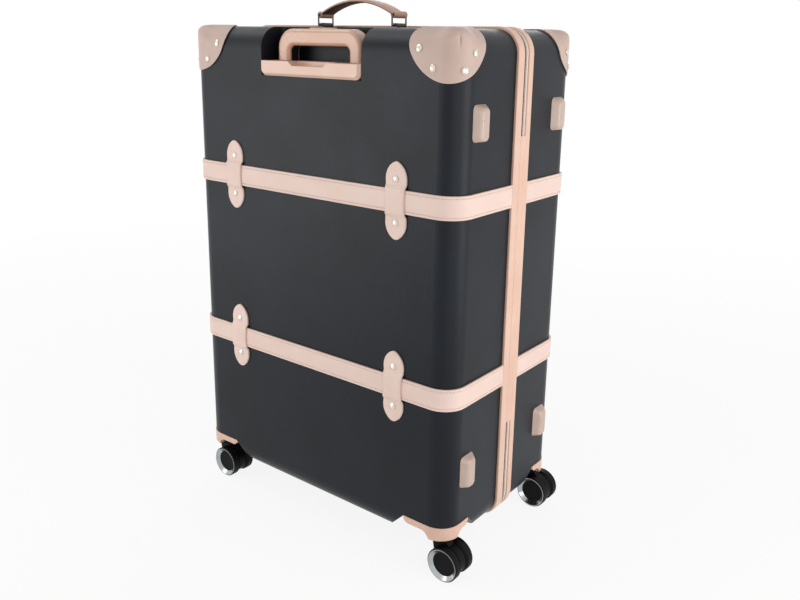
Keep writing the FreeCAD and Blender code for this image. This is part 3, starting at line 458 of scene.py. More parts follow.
@dataclass(frozen=True)
class PlatedMetal(Finish):
    """Nickel- or chrome-plated metal, polished before plating: mirror-like with hairline scuffs."""

    grain: float = 0.9 * MM
    stretch: tuple[float, float, float] = (1.0, 1.0, 1.0)
    colour_patch = 25 * MM
    gloss_patch = 6 * MM
    gloss_spread = 0.03
    grain_detail = 4.0
    depth = 0.006 * MM

    def plain_values(self) -> dict[str, object]:
        """Add the shine of metal."""
        return {**super().plain_values(), "Metallic": 1.0}

    def place(self, tree: Tree) -> Socket:
        """Draw the patterns out where the piece was drawn through a die."""
        drawn = add(tree, "ShaderNodeMapping", {"Vector": super().place(tree), "Scale": self.stretch})
        return drawn.outputs["Vector"]


@dataclass(frozen=True)
class SpunThread(Finish):
    """Bonded polyester sewing thread: matt, with slight changes of shade from stitch to stitch."""

    grain: float = 0.4 * MM
    colour_patch = 5 * MM
    grain_detail = 2.0
    depth = 0.08 * MM


PINK_LEATHER = GrainedLeather("pigmented_split_leather_pink", "#edd3c7", 0.52, "#e9cdc0")
CAP_LEATHER = GrainedLeather("moulded_split_leather_pink", "#ceb4a8", 0.5, "#c8ada1")
HANDLE_LEATHER = GrainedLeather("burnished_split_leather_rose", "#c9a18d", 0.45, "#bf9580")
BROWN_LEATHER = GrainedLeather("split_leather_back_brown", "#5f493d", 0.62, "#523e34")
PEACH_TRIM = GrainedLeather("coated_leather_trim_peach", "#e6c2ae", 0.45, "#e2bba6", 0.9 * MM)
STRAP_THREAD = SpunThread("bonded_polyester_thread", "#cfb1a3", 0.7, "#c4a495")
NYLON_COIL = SpunThread("woven_nylon_coil", "#eceae6", 0.42, "#dedad5")
ROSE_LACQUER = Lacquer("lacquered_ABS_rose", "#d6aa90", 0.3, "#d2a48a")
PALE_LACQUER = Lacquer("lacquered_ABS_pale_rose", "#e4bfaa", 0.34, "#e0b8a3", coat=0.3)
SATIN_ROSE = Lacquer("satin_painted_ABS_rose", "#e2bda9", 0.42, "#ddb6a1", coat=0.15)
FOOT_PLASTIC = MouldedPlastic("moulded_polypropylene_pale_pink", "#c6afa2", 0.32, "#c0a799")
FORK_PLASTIC = MouldedPlastic("moulded_nylon_black", "#0a0a0c", 0.5, "#0e0e11", specular=0.1)
BRACKET_PLASTIC = MouldedPlastic("moulded_polypropylene_black", "#1f1f22", 0.5, "#19191c", specular=0.35)
# A black strip that darkens the inside of the grip's opening
GRIP_OPENING_BLACK = MouldedPlastic("black_grip_opening_strip", "#0f0f11", 0.6, "#141416", specular=0.25)
DIAL_PLASTIC = MouldedPlastic("moulded_acetal_black", "#1a1a1d", 0.35, "#212124")
TYRE_RUBBER = MouldedPlastic("moulded_polyurethane_tyre_black", "#0a0a0c", 0.5, "#0f0f12", 0.6 * MM,
                             specular=0.1)
NICKEL = PlatedMetal("nickel_plated_steel", "#e6dfd2", 0.17, "#d9cfc0")
DARK_CHROME = PlatedMetal("black_nickel_plated_wire", "#4d4a47", 0.22, "#403d3a")
BRIGHT_RING = PlatedMetal("polished_aluminium_ring", "#b3b7b9", 0.2, "#a4a8ab")
AXLE_STEEL = PlatedMetal("zinc_plated_steel", "#b4b4b2", 0.32, "#a3a3a4")
DRAWN_ALUMINIUM = PlatedMetal("drawn_anodised_aluminium", "#c9cacd", 0.3, "#bcbdc0",
                              stretch=(1.0, 1.0, 0.02))


# Shapes
@dataclass
class Shape:
    """Points and faces of one piece while it is made; each face knows which of the finishes it takes."""

    points: list[Vector] = field(default_factory=list)
    faces: list[tuple[int, ...]] = field(default_factory=list)
    slots: list[int] = field(default_factory=list)

    def face(self, corners: Iterable[int], slot: int = 0) -> None:
        """Add one face by its corners' numbers."""
        self.faces.append(tuple(corners))
        self.slots.append(slot)

    def skin(self, rings: Sequence[Sequence[Vector]], slots: Optional[Sequence[int]] = None,
             looped: bool = False) -> None:
        """Join rings of equal count into a tube that is closed at its ends or runs into itself.

        Args:
            rings: the rings' points in order.
            slots: the finish of each side of the ring, or none for the first finish.
            looped: whether the last ring joins the first.
        """
        start, count = len(self.points), len(rings[0])
        for ring in rings:
            self.points.extend(ring)
        spans = len(rings) if looped else len(rings) - 1
        for i in range(spans):
            near, far = start + i * count, start + (i + 1) % len(rings) * count
            for j in range(count):
                k = (j + 1) % count
                self.face((near + j, near + k, far + k, far + j), slots[j] if slots else 0)
        if not looped:
            last = start + (len(rings) - 1) * count
            self.face(range(start, start + count))
            self.face(range(last, last + count))

    def dome(self, spokes: Sequence[Sequence[Vector]]) -> None:
        """Join spokes that share their first and their last point into a closed skin.

        Args:
            spokes: the spokes' points, in order round the pole.
        """
        start, count = len(self.points), len(spokes[0]) - 2
        self.points.extend([spokes[0][0], spokes[0][-1]])
        for spoke in spokes:
            self.points.extend(spoke[1:-1])
        for i in range(len(spokes)):
            near, far = start + 2 + i * count, start + 2 + (i + 1) % len(spokes) * count
            self.face((start, near, far))
            for j in range(count - 1):
                self.face((near + j, near + j + 1, far + j + 1, far + j))
            self.face((near + count - 1, start + 1, far + count - 1))

    def piece(self, name: str, finishes: Sequence[Finish], sharp: float = 40.0) -> Thing:
        """Make the object, its faces turned outwards.

        Args:
            name: the object's name.
            finishes: the finishes that the faces' slots count.
            sharp: the angle in degrees from which an edge stays sharp.

        Returns:
            The new object in the scene.
        """
        mesh = bpy.data.meshes.new(name)
        mesh.from_pydata(self.points, [], self.faces)
        for finish in finishes:
            mesh.materials.append(finish.material())
        mesh.polygons.foreach_set("material_index", self.slots)
        work = bmesh.new()
        work.from_mesh(mesh)
        bmesh.ops.recalc_face_normals(work, faces=work.faces)
        work.to_mesh(mesh)
        work.free()
        mesh.shade_smooth()
        mesh.set_sharp_from_angle(angle=math.radians(sharp))
        return linked(name, mesh)


def settle(thing: Thing, body: str, slot: str, *nodes: str) -> None:
    """Let a piece ride on its body and stand for its solids.

    Args:
        thing: the piece.
        body: the body that carries it.
        slot: the record's material slot, which is not used.
        nodes: the solids that it stands for.
    """
    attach(thing, body)
    if nodes:
        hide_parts(*nodes)
    LOG.info("%s on %s: %d faces", thing.name, body, len(thing.data.polygons))


@dataclass(frozen=True)
class BeadRow:
    """Small equal beads set along paths by geometry nodes: stitches or zip teeth."""

    pitch: float
    length: float
    width: float
    height: float
    finish: Finish

    @staticmethod
    def tree() -> Tree:
        """Build the node tree that sets beads along a path, when it is first asked for.

        Returns:
            The tree.
        """
        name = "beads_along_paths"
        known = bpy.data.node_groups.get(name)
        if known is not None:
            return known
        tree = bpy.data.node_groups.new(name, "GeometryNodeTree")
        tree.interface.new_socket("Paths", in_out="INPUT", socket_type="NodeSocketGeometry")
        for size in ("Pitch", "Length", "Width", "Height"):
            tree.interface.new_socket(size, in_out="INPUT", socket_type="NodeSocketFloat")
        tree.interface.new_socket("Finish", in_out="INPUT", socket_type="NodeSocketMaterial")
        tree.interface.new_socket("Beads", in_out="OUTPUT", socket_type="NodeSocketGeometry")
        given = add(tree, "NodeGroupInput").outputs
        curve = add(tree, "GeometryNodeMeshToCurve", {"Mesh": given["Paths"]}).outputs[0]
        spaced = add(tree, "GeometryNodeResampleCurve", {"Curve": curve, "Length": given["Pitch"]},
                     mode="LENGTH").outputs[0]
        tangent = add(tree, "GeometryNodeInputTangent").outputs[0]
        way = add(tree, "GeometryNodeInputNamedAttribute", {"Name": "outward"},
                  data_type="FLOAT_VECTOR").outputs["Attribute"]
        along = add(tree, "FunctionNodeAlignRotationToVector", {"Vector": tangent}, axis="X").outputs[0]
        upright = add(tree, "FunctionNodeAlignRotationToVector", {"Rotation": along, "Vector": way},
                      axis="Z", pivot_axis="X").outputs[0]
        size = add(tree, "ShaderNodeCombineXYZ", {0: given["Length"], 1: given["Width"], 2: given["Height"]})
        ball = add(tree, "GeometryNodeMeshUVSphere", {"Segments": 6, "Rings": 4, "Radius": 0.5}).outputs[0]
        soft = add(tree, "GeometryNodeSetShadeSmooth", {"Geometry": ball}).outputs[0]
        beads = add(tree, "GeometryNodeInstanceOnPoints",
                    {"Points": spaced, "Instance": soft, "Rotation": upright, "Scale": size.outputs[0]})
        real = add(tree, "GeometryNodeRealizeInstances", {"Geometry": beads.outputs[0]}).outputs[0]
        dressed = add(tree, "GeometryNodeSetMaterial", {"Geometry": real, "Material": given["Finish"]})
        add(tree, "NodeGroupOutput", {"Beads": dressed.outputs[0]})
        return tree

    def make(self, name: str, paths: Sequence[Path]) -> Thing:
        """Set beads along open paths.

        Args:
            name: the object's name.
            paths: each path's points with the outward direction at each.

        Returns:
            One plain mesh object with all the beads.
        """
        points, edges, ways = [], [], []
        for path in paths:
            start = len(points)
            points.extend(point for point, _ in path)
            ways.extend(value for _, way in path for value in way)
            edges.extend((start + i, start + i + 1) for i in range(len(path) - 1))
        line = bpy.data.meshes.new(f"{name}_path")
        line.from_pydata(points, edges, [])
        line.attributes.new("outward", "FLOAT_VECTOR", "POINT").data.foreach_set("vector", ways)
        guide = linked(f"{name}_path", line)
        modifier = guide.modifiers.new("beads", "NODES")
        modifier.node_group = self.tree()
        values = {"Pitch": self.pitch, "Length": self.length, "Width": self.width, "Height": self.height,
                  "Finish": self.finish.material()}
        for socket in modifier.node_group.interface.items_tree:
            if socket.in_out == "INPUT" and socket.name in values:
                modifier[socket.identifier] = values[socket.name]
        graph = bpy.context.evaluated_depsgraph_get()
        mesh = bpy.data.meshes.new_from_object(guide.evaluated_get(graph))
        mesh.name = name
        bpy.data.objects.remove(guide)
        return linked(name, mesh)


STRAP_STITCH = BeadRow(4.2 * MM, 3.0 * MM, 0.8 * MM, 0.7 * MM, STRAP_THREAD)
HANDLE_STITCH = BeadRow(3.4 * MM, 2.4 * MM, 0.7 * MM, 0.6 * MM, STRAP_THREAD)
ZIP_TOOTH = BeadRow(1.6 * MM, 1.0 * MM, 2.7 * MM, 0.9 * MM, NYLON_COIL)


# The case and its leather trim
@dataclass(frozen=True)
class CaseForm:
    """The rounded box of the two shells, as the CAD frame has it."""

    middle: float
    half_width: float
    half_depth: float
    bottom: float
    top: float
    edge_radius: float = 30 * MM
    parting: float = 4 * MM
    rear_trim: float = -17 * MM
    front_trim: float = 21 * MM
    hinge_low: float = 184 * MM
    hinge_high: float = 587 * MM
    girdle_steps: int = 14
    seam_steps: int = 10

    @classmethod
    def from_frame(cls) -> CaseForm:
        """Read the rear shell's box."""
        low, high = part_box("rear_shell")
        return cls((low.x + high.x) / 2, (high.x - low.x) / 2, -low.y, low.z, high.z)

    def placed(self, path: Path) -> Path:
        """Move a path that was made about the case's middle into the object's frame."""
        offset = Vector((self.middle, 0, 0))
        return [(point + offset, way) for point, way in path]

    def girdle(self, half: Half, stand: float, level: float) -> Path:
        """Go round one half from trim to trim, at a height and a distance off the shell.

        Args:
            half: which half.
            stand: how far off the shell's face.
            level: the height.

        Returns:
            Points with the outward direction at each.
        """
        side = half.value
        end = self.rear_trim - SEAT if half is Half.REAR else self.front_trim + SEAT
        reach = self.half_width + stand
        path = [(Vector((-reach, end, level)), Vector((-1, 0, 0)))]
        for across, first in ((-1, 0), (1, 90)):
            centre = Vector((across * (self.half_width - self.edge_radius),
                             side * (self.half_depth - self.edge_radius), level))
            for wide, deep in turned(first, 90 - first, self.girdle_steps):
                way = Vector((across * wide, side * deep, 0))
                path.append((centre + way * (self.edge_radius + stand), way))
        path.append((Vector((reach, end, level)), Vector((1, 0, 0))))
        return self.placed(path)

    def seam(self, stand: float, y: float) -> Path:
        """Follow the zip from the hinge's upper end over the top and under the case to its lower end.

        Args:
            stand: how far off the shell's face.
            y: the depth of the path.

        Returns:
            Points with the outward direction at each.
        """
        path = [(Vector((self.half_width + stand, y, self.hinge_high)), Vector((1, 0, 0)))]
        high, low = self.top - self.edge_radius, self.bottom + self.edge_radius
        wide = self.half_width - self.edge_radius
        corners = ((wide, high, 0), (-wide, high, 90), (-wide, low, 180), (wide, low, 270))
        for x, z, first in corners:
            for out, up in turned(first, first + 90, self.seam_steps):
                way = Vector((out, 0, up))
                path.append((Vector((x, y, z)) + way * (self.edge_radius + stand), way))
        path.append((Vector((self.half_width + stand, y, self.hinge_low)), Vector((1, 0, 0))))
        return self.placed(path)


@dataclass(frozen=True)
class Belts:
    """The two leather straps round one half, with a stitched groove along each edge."""

    case: CaseForm
    half: Half
    levels: tuple[float, float] = (510 * MM, 260 * MM)
    width: float = 30 * MM
    thickness: float = 3 * MM
    rounding: float = 0.9 * MM
    stitch_inset: float = 3.4 * MM
    stitch_sink: float = 0.21 * MM
    groove_depth: float = 0.35 * MM
    groove_mouth: float = 0.7 * MM
    groove_floor: float = 0.25 * MM
    groove_side: float = 3 * MM

    def section(self) -> Section:
        """Give the strap's section, from its upper back corner over the face to its lower one.

        Returns:
            How far up from the strap's middle and how far off the shell each point is.
        """
        half, face, turn = self.width / 2, SEAT + self.thickness, self.rounding
        seam, floor, lean = half - self.stitch_inset, face - self.groove_depth, ROUND_MIDDLE * turn
        upper = [(half - turn / 2, SEAT), (half, SEAT + turn / 2), (half, face - turn),
                 (half - lean, face - lean), (half - turn, face), (seam + self.groove_mouth, face),
                 (seam + self.groove_floor, floor), (seam - self.groove_floor, floor),
                 (seam - self.groove_mouth, face), (seam - self.groove_side, face)]
        return upper + mirrored(upper)

    def build(self) -> None:
        """Make the straps and their stitches."""
        shape, section = Shape(), self.section()
        seams = []
        for level in self.levels:
            shape.skin([[point + way * stand + Vector((0, 0, up)) for up, stand in section]
                        for point, way in self.case.girdle(self.half, 0.0, level)])
            for side in (1, -1):
                height = level + side * (self.width / 2 - self.stitch_inset)
                seams.append(self.case.girdle(self.half, SEAT + self.thickness - self.stitch_sink, height))
        leather = shape.piece(self.half.named("strap_leather"), [PINK_LEATHER])
        settle(leather, self.half.body, "pink_leather", self.half.named("belts"))
        stitches = STRAP_STITCH.make(self.half.named("strap_stitches"), seams)
        settle(stitches, self.half.body, "pink_leather")


@dataclass(frozen=True)
class Keepers:
    """Waisted leather tabs that bridge the straps, riveted above and below them."""

    belts: Belts
    spacing: float = 300 * MM
    length: float = 100 * MM
    width: float = 33 * MM
    waist: float = 28 * MM
    thickness: float = 2.5 * MM
    strap_gap: float = 0.3 * MM
    ramp: float = 6 * MM
    rivet_pitch: float = 56 * MM
    rounding: float = 0.9 * MM
    rounding_share: float = 0.6
    tip: float = 0.6 * MM
    tip_drop: float = 0.8
    bluntness: float = 0.63
    rows: int = 120

    def half_width_at(self, along: float) -> float:
        """Give the outline: waist, lobe and rounded point.

        Args:
            along: the distance from the tab's middle.

        Returns:
            Half the tab's width there.
        """
        lobe, far = self.rivet_pitch / 2, abs(along)
        if far < lobe:
            swell = 0.5 - 0.5 * math.cos(math.pi * far / lobe)
            return self.waist / 2 + (self.width - self.waist) / 2 * swell
        share = min(1.0, (far - lobe) / (self.length / 2 - lobe))
        return max(self.tip, self.width / 2 * (1 - share ** 2) ** self.bluntness)

    def underside_at(self, along: float) -> float:
        """Give the course of the underside: over the strap, down its ramp, flat on the shell.

        Args:
            along: the distance from the tab's middle.

        Returns:
            How far the underside is off the shell there.
        """
        high = SEAT + self.belts.thickness + SEAT
        share = (abs(along) - self.belts.width / 2 - self.strap_gap) / self.ramp
        return high + (SEAT - high) * eased(share)

    def section(self, along: float) -> Section:
        """Give the section at a distance from the middle.

        Args:
            along: the distance.

        Returns:
            How far across and how far off the shell each point is.
        """
        wide, under = self.half_width_at(along), self.underside_at(along)
        end = self.length / 2 - abs(along)
        top = under + self.thickness - max(0.0, self.rounding - end) * self.tip_drop
        turn = min(self.rounding, wide * self.rounding_share)
        lean = ROUND_MIDDLE * turn
        right = [(wide - lean, under), (wide, under + lean), (wide, top - turn), (wide - lean, top - lean),
                 (wide - turn, top), (wide / 2, top)]
        return right + mirrored(right)

    def build(self) -> None:
        """Make the four tabs of one half."""
        case, half = self.belts.case, self.belts.half
        shape = Shape()
        for level in self.belts.levels:
            for side in (-1, 1):
                middle = case.middle + side * self.spacing / 2
                rings = []
                for row in range(self.rows + 1):
                    along = self.length / 2 * math.sin((row / self.rows - 0.5) * math.pi)
                    rings.append([Vector((middle + across, half.value * (case.half_depth + stand),
                                          level + along)) for across, stand in self.section(along)])
                shape.skin(rings)
        tabs = shape.piece(half.named("keeper_leather"), [PINK_LEATHER])
        settle(tabs, half.body, "pink_leather", half.named("keepers"))


@dataclass(frozen=True)
class CornerCaps:
    """Leather moulded over the two top corners of one half and trimmed to round lobes.

    A place on a cap is measured from the corner of the case's box, with outwards positive on each axis.
    """

    case: CaseForm
    half: Half
    trim_radius: float = 60 * MM
    trim_centre: tuple[float, float, float] = (-16 * MM, 5 * MM, -2 * MM)
    thickness: float = 2 * MM
    rounding: float = 1.2 * MM
    corner_radius: float = 10 * MM
    boxy_share: float = 0.7
    fold_depth: float = 1.1 * MM
    fold_width: float = 1.8 * MM
    fold_drop: float = 13 * MM
    fold_height: float = 6.5 * MM
    widest: float = 110.0
    spokes: int = 96
    # Shares of a spoke at which the outer and the inner skin have a point, closer at the rounded rim
    rows: tuple[float, ...] = tuple(i / 24 for i in range(1, 24)) + (0.972, 0.985, 0.993, 0.998, 1.0)
    back_rows: tuple[float, ...] = (1.0, 17 / 24, 0.35, 0.0)

    def on_shell(self, heading: Vector, stand: float) -> Vector:
        """Find where a ray from the corner's rounding centre meets the shell's face, or stands off it."""
        radius = self.case.edge_radius
        return heading * ((radius + stand) / outward(heading)) - Vector((radius, radius, radius))

    def off_block(self, spot: Vector, radius: float) -> float:
        """Measure how far a place is off the block that the leather was pressed on, with tighter top edges.

        Args:
            spot: the place, from the corner's rounding centre.
            radius: the radius of the block's top edges.

        Returns:
            The distance, negative inside.
        """
        inner = self.case.edge_radius - radius
        wall = past_corner(spot.x, spot.y) - inner
        return past_corner(wall, spot.z - inner) - radius

    def on_block(self, heading: Vector, stand: float, radius: float) -> Vector:
        """Find where a ray from the corner's rounding centre stands off that block.

        Args:
            heading: the ray's direction.
            stand: the distance off the block's face.
            radius: the radius of the block's top edges.

        Returns:
            The place.
        """
        full = self.case.edge_radius
        length = last_inside(lambda far: self.off_block(heading * far, radius) < stand,
                             (full + stand) / outward(heading), (full + stand) / max(heading))
        return heading * length - Vector((full, full, full))

    def spoke(self, turn: float) -> tuple[Vector, Vector, float]:
        """Lay out one spoke from the corner to the trimmed edge.

        Args:
            turn: the spoke's angle round the corner.

        Returns:
            The corner's direction, the spoke's, and the angle off the first at which the edge is trimmed.
        """
        pole = Vector((1, 1, 1)).normalized()
        first = Vector((1, -1, 0)).normalized()
        out = first * math.cos(turn) + pole.cross(first) * math.sin(turn)
        centre = Vector(self.trim_centre)

        def inside(angle: float) -> bool:
            """Whether the spoke is still inside the trim at an angle."""
            place = self.on_shell(pole * math.cos(angle) + out * math.sin(angle), SEAT)
            return (place - centre).length < self.trim_radius

        return pole, out, last_inside(inside, 0.0, math.radians(self.widest))

    def outside(self, heading: Vector, stand: float, share: float) -> Vector:
        """Give the outer face: tight at the corner, easing to the shell's form, with a fold below it.

        Args:
            heading: the ray's direction.
            stand: how far the face is off the form.
            share: how far along the spoke, from 0 at the corner to 1 at the trimmed edge.

        Returns:
            The place.
        """
        if share >= self.boxy_share:
            return self.on_shell(heading, stand)
        ease = eased(share / self.boxy_share)
        radius = self.corner_radius + (self.case.edge_radius - self.corner_radius) * ease
        spot = self.on_block(heading, stand, radius)
        across = (spot.x - spot.y) / self.fold_width
        down = (spot.z + self.fold_drop) / self.fold_height
        fold = self.fold_depth * math.exp(-across * across - down * down)
        return spot - Vector((fold, fold, 0))

    def line(self, turn: float) -> list[Vector]:
        """Follow one spoke out over the face to the rounded rim and back along the shell.

        Args:
            turn: the spoke's angle round the corner.

        Returns:
            Its places.
        """
        pole, out, edge = self.spoke(turn)
        ways = {share: pole * math.cos(edge * share) + out * math.sin(edge * share)
                for share in (*self.rows, *self.back_rows)}
        full = SEAT + self.thickness
        rim = self.on_shell(ways[1.0], SEAT)
        line = [self.outside(ways[0.0], full, 0.0)]
        for share in self.rows:
            near = (self.on_shell(ways[share], SEAT) - rim).length
            line.append(self.outside(ways[share], full - rounded_off(near, self.rounding), share))
        return line + [self.on_shell(ways[share], SEAT) for share in self.back_rows]

    def build(self) -> None:
        """Make both caps: an outer skin with a rounded rim and the skin against the shell."""
        case, side = self.case, self.half.value
        lines = [self.line(number / self.spokes * math.tau) for number in range(self.spokes)]
        shape = Shape()
        for across in (-1, 1):
            shape.dome([[Vector((case.middle + across * (case.half_width + spot.x),
                                 side * (case.half_depth + spot.y), case.top + spot.z))
                         for spot in line] for line in lines])
        caps = shape.piece(self.half.named("cap_leather"), [CAP_LEATHER])
        settle(caps, self.half.body, "cap_leather", self.half.named("corner_caps"))


@dataclass(frozen=True)
class SideFeet:
    """Tapered plastic feet with rounded edges, on which the case lies down on its hinge side."""

    half: Half
    height: float = 45 * MM
    face_width: float = 16 * MM
    high_slope: float = 4.5 * MM
    low_slope: float = 1.5 * MM
    corner: float = 6.5 * MM
    rounding: float = 3.2 * MM
    steps: int = 8

    def outline(self, wide: float, under: float, over: float, corner: float) -> Section:
        """Give a rounded rectangle about the foot's middle.

        Args:
            wide: half its width.
            under: how far it goes down.
            over: how far it goes up.
            corner: the radius of its corners.

        Returns:
            How far across and how far up each point is.
        """
        points = []
        for side, up, first in ((1, over, 0), (-1, over, 90), (-1, -under, 180), (1, -under, 270)):
            middle_across = side * (wide - corner)
            middle_up = up - math.copysign(corner, up)
            points += [(middle_across + corner * out, middle_up + corner * rise)
                       for out, rise in turned(first, first + 90, self.steps)]
        return points

    def build(self) -> None:
        """Make the two feet of one half."""
        low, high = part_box(self.half.named("side_feet"))
        base, proud = (high.y - low.y) / 2, high.x - low.x
        levels = [(0.0, 0.0)]
        levels += [(proud - self.rounding * (1 - rise), self.rounding * (1 - out))
                   for out, rise in turned(0, 90, self.steps)]
        shape = Shape()
        for z in (low.z + self.height / 2, high.z - self.height / 2):
            rings = []
            for stand, inset in levels:
                share = stand / proud
                wide = base + (self.face_width / 2 - base) * share - inset
                under = self.height / 2 - self.low_slope * share - inset
                over = self.height / 2 - self.high_slope * share - inset
                middle = Vector((low.x + stand, (low.y + high.y) / 2, z))
                rings.append([middle + Vector((0, across, up))
                              for across, up in self.outline(wide, under, over, self.corner - inset)])
            shape.skin(rings)
        feet = shape.piece(self.half.named("moulded_feet"), [FOOT_PLASTIC])
        settle(feet, self.half.body, "foot_plastic", self.half.named("side_feet"))


@dataclass(frozen=True)
class HingeStrip:
    """The leather strip that the case opens on, with a soft fold line down its middle."""

    case: CaseForm
    rear_edge: float = -1.9 * MM
    front_edge: float = 9.9 * MM
    inner: float = -3 * MM
    outer: float = 3.6 * MM
    fold_depth: float = 1.0 * MM
    fold_width: float = 0.9 * MM
    rounding: float = 0.8 * MM
    bend: float = 2.5 * MM
    sharp: float = 50.0
    steps: int = 28
    rows: int = 60

    def face_at(self, y: float) -> float:
        """Give the strip's face, with its fold and rounded edges.

        Args:
            y: the depth.

        Returns:
            How far the face is off the shell there.
        """
        fold = self.fold_depth * math.exp(-((y - self.case.parting) / self.fold_width) ** 2)
        near = min(y - self.rear_edge, self.front_edge - y)
        return self.outer - fold - rounded_off(near, self.rounding)

    def build(self) -> None:
        """Make the strip, which spans from the rear half to the front half."""
        width = self.front_edge - self.rear_edge
        spread = [self.rear_edge + width * i / self.steps for i in range(self.steps + 1)]
        section = [(self.face_at(y), y) for y in spread] + [(self.inner, y) for y in reversed(spread)]
        low, high = self.case.hinge_low + SEAT, self.case.hinge_high - SEAT
        wall, parting = self.case.middle + self.case.half_width, self.case.parting
        shape = Shape()
        shape.skin([[Vector((wall + stand, y, low + (high - low) * row / self.rows)) for stand, y in section]
                    for row in range(self.rows + 1)])
        strip = shape.piece("hinge_leather", [PEACH_TRIM], self.sharp)
        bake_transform(strip)
        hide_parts("hinge_strip")
        LOG.info("%s bends between the halves: %d faces", strip.name, len(strip.data.polygons))


@dataclass(frozen=True)
class CarryHandle:
    """An arched leather strap on two wire loops: stitched on top, brown beneath, wrapped round the wires.

    The crown and the belly of its section are shares of half its width and half its thickness.
    """

    body: str
    turn: Matrix
    spread: float = 134 * MM
    rise: float = 18.5 * MM
    width: float = 26 * MM
    thickness: float = 4 * MM
    crown: tuple[tuple[float, float], ...] = ((0.4, 1.0), (0.8, 0.86), (0.94, 0.62), (1.0, 0.2), (1.0, -0.4))
    belly: tuple[tuple[float, float], ...] = ((0.97, -0.8), (0.9, -1.0))
    strap_end: float = 0.955
    eye: float = 4.6 * MM
    bore: float = 1.9 * MM
    eye_rounding: float = 0.6 * MM
    eye_steps: int = 24
    stitch_inset: float = 3 * MM
    stitch_lift: float = 1.8 * MM
    seam_end: float = 0.9
    steps: int = 48

    def arc(self, share: float, lift: float, across: float) -> tuple[Vector, Vector]:
        """Find a place on the arch, and the way out of it.

        Args:
            share: from -1 at one eye to 1 at the other.
            lift: how far above the arch's middle line.
            across: how far to the side.

        Returns:
            The place and the outward direction in the object's frame.
        """
        half = self.spread / 2
        bend = (half ** 2 + self.rise ** 2) / (2 * self.rise)
        angle = math.asin(half / bend) * share
        way = Vector((math.sin(angle), 0, math.cos(angle)))
        place = way * (bend + lift) + Vector((0, across, self.rise - bend))
        return self.turn @ place, self.turn.to_3x3() @ way

    def shares(self, end: float) -> list[float]:
        """Give even steps along the arch, from one end's share to the other's."""
        return [end * (2 * i / self.steps - 1) for i in range(self.steps + 1)]

    def strap(self, shape: Shape) -> None:
        """Add the arched strap, brown on its underside.

        Args:
            shape: the handle's shape.
        """
        half, thick = self.width / 2, self.thickness / 2
        crown = [(half * across, thick * lift) for across, lift in self.crown]
        top = mirrored(crown) + [(0.0, thick)] + crown
        belly = [(half * across, thick * lift) for across, lift in self.belly]
        under = belly + mirrored(belly)
        slots = [0] * (len(top) - 1) + [1] * (len(under) + 1)
        shape.skin([[self.arc(share, lift, across)[0] for across, lift in top + under]
                    for share in self.shares(self.strap_end)], slots)

    def wrap(self, shape: Shape, side: int) -> None:
        """Add the leather that is wrapped round one loop's wire.

        Args:
            shape: the handle's shape.
            side: -1 or 1, for the strap's two ends.
        """
        section = band(self.bore, self.eye, self.width / 2, self.eye_rounding)
        middle = Vector((side * self.spread / 2, 0, 0))
        rings = []
        for out, up in turned(0, 360, self.eye_steps)[:-1]:
            way = Vector((out, 0, up))
            rings.append([self.turn @ (middle + way * reach + Vector((0, across, 0)))
                          for across, reach in section])
        shape.skin(rings, looped=True)

    def build(self) -> None:
        """Make the strap, the wraps at its ends and its two seams."""
        shape = Shape()
        self.strap(shape)
        for side in (-1, 1):
            self.wrap(shape, side)
        strap = shape.piece(f"{self.body}_leather", [HANDLE_LEATHER, BROWN_LEATHER])
        settle(strap, self.body, "pink_leather", self.body)
        inset = self.width / 2 - self.stitch_inset
        seams = [[self.arc(share, self.stitch_lift, side * inset) for share in self.shares(self.seam_end)]
                 for side in (-1, 1)]
        settle(HANDLE_STITCH.make(f"{self.body}_stitches", seams), self.body, "pink_leather")


@dataclass(frozen=True)
class CarryHandles:
    """The two carry handles, on the top and on the zip side, at the height of their loops' upper bars."""

    case: CaseForm
    eye_height: float = 17.5 * MM
    top_depth: float = -36 * MM
    side_depth: float = -64 * MM
    side_level: float = 385 * MM

    def build(self) -> None:
        """Make both handles."""
        case = self.case
        top = Vector((case.middle, self.top_depth, case.top + self.eye_height))
        side = Vector((case.middle - case.half_width - self.eye_height, self.side_depth, self.side_level))
        sideways = Matrix.Rotation(-math.pi / 2, 4, "Y")
        CarryHandle("top_strap", Matrix.Translation(top)).build()
        CarryHandle("side_strap", Matrix.Translation(side) @ sideways).build()


@dataclass(frozen=True)
class GripOpeningStrip:
    """A black strip that lines the inside of the grip's opening and makes the opening dark."""

    grip_leg: float = 22 * MM
    grip_bar: float = 22 * MM
    corner: float = 8 * MM
    width: float = 13 * MM
    thickness: float = 0.9 * MM
    rounding: float = 0.35 * MM
    steps: int = 10

    def path(self) -> Path:
        """Go up one leg, along the bar and down the other leg.

        Returns:
            Points with the way into the opening at each.
        """
        low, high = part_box("trolley_grip")
        left, right = low.x + self.grip_leg, high.x - self.grip_leg
        arch, y = high.z - self.grip_bar, (low.y + high.y) / 2
        points = [(Vector((left, y, low.z)), Vector((1, 0, 0)))]
        for x, first in ((left + self.corner, 180), (right - self.corner, 90)):
            for out, up in turned(first, first - 90, self.steps):
                way = Vector((out, 0, up))
                points.append((Vector((x, y, arch - self.corner)) + way * self.corner, -way))
        return points + [(Vector((right, y, low.z)), Vector((-1, 0, 0)))]

    def build(self) -> None:
        """Make the strip."""
        section = band(SEAT, self.thickness, self.width / 2, self.rounding)
        shape = Shape()
        shape.skin([[point + way * stand + Vector((0, across, 0)) for across, stand in section]
                    for point, way in self.path()])
        settle(shape.piece("grip_opening_strip", [GRIP_OPENING_BLACK]), "trolley_top", "rose_gold_plastic")


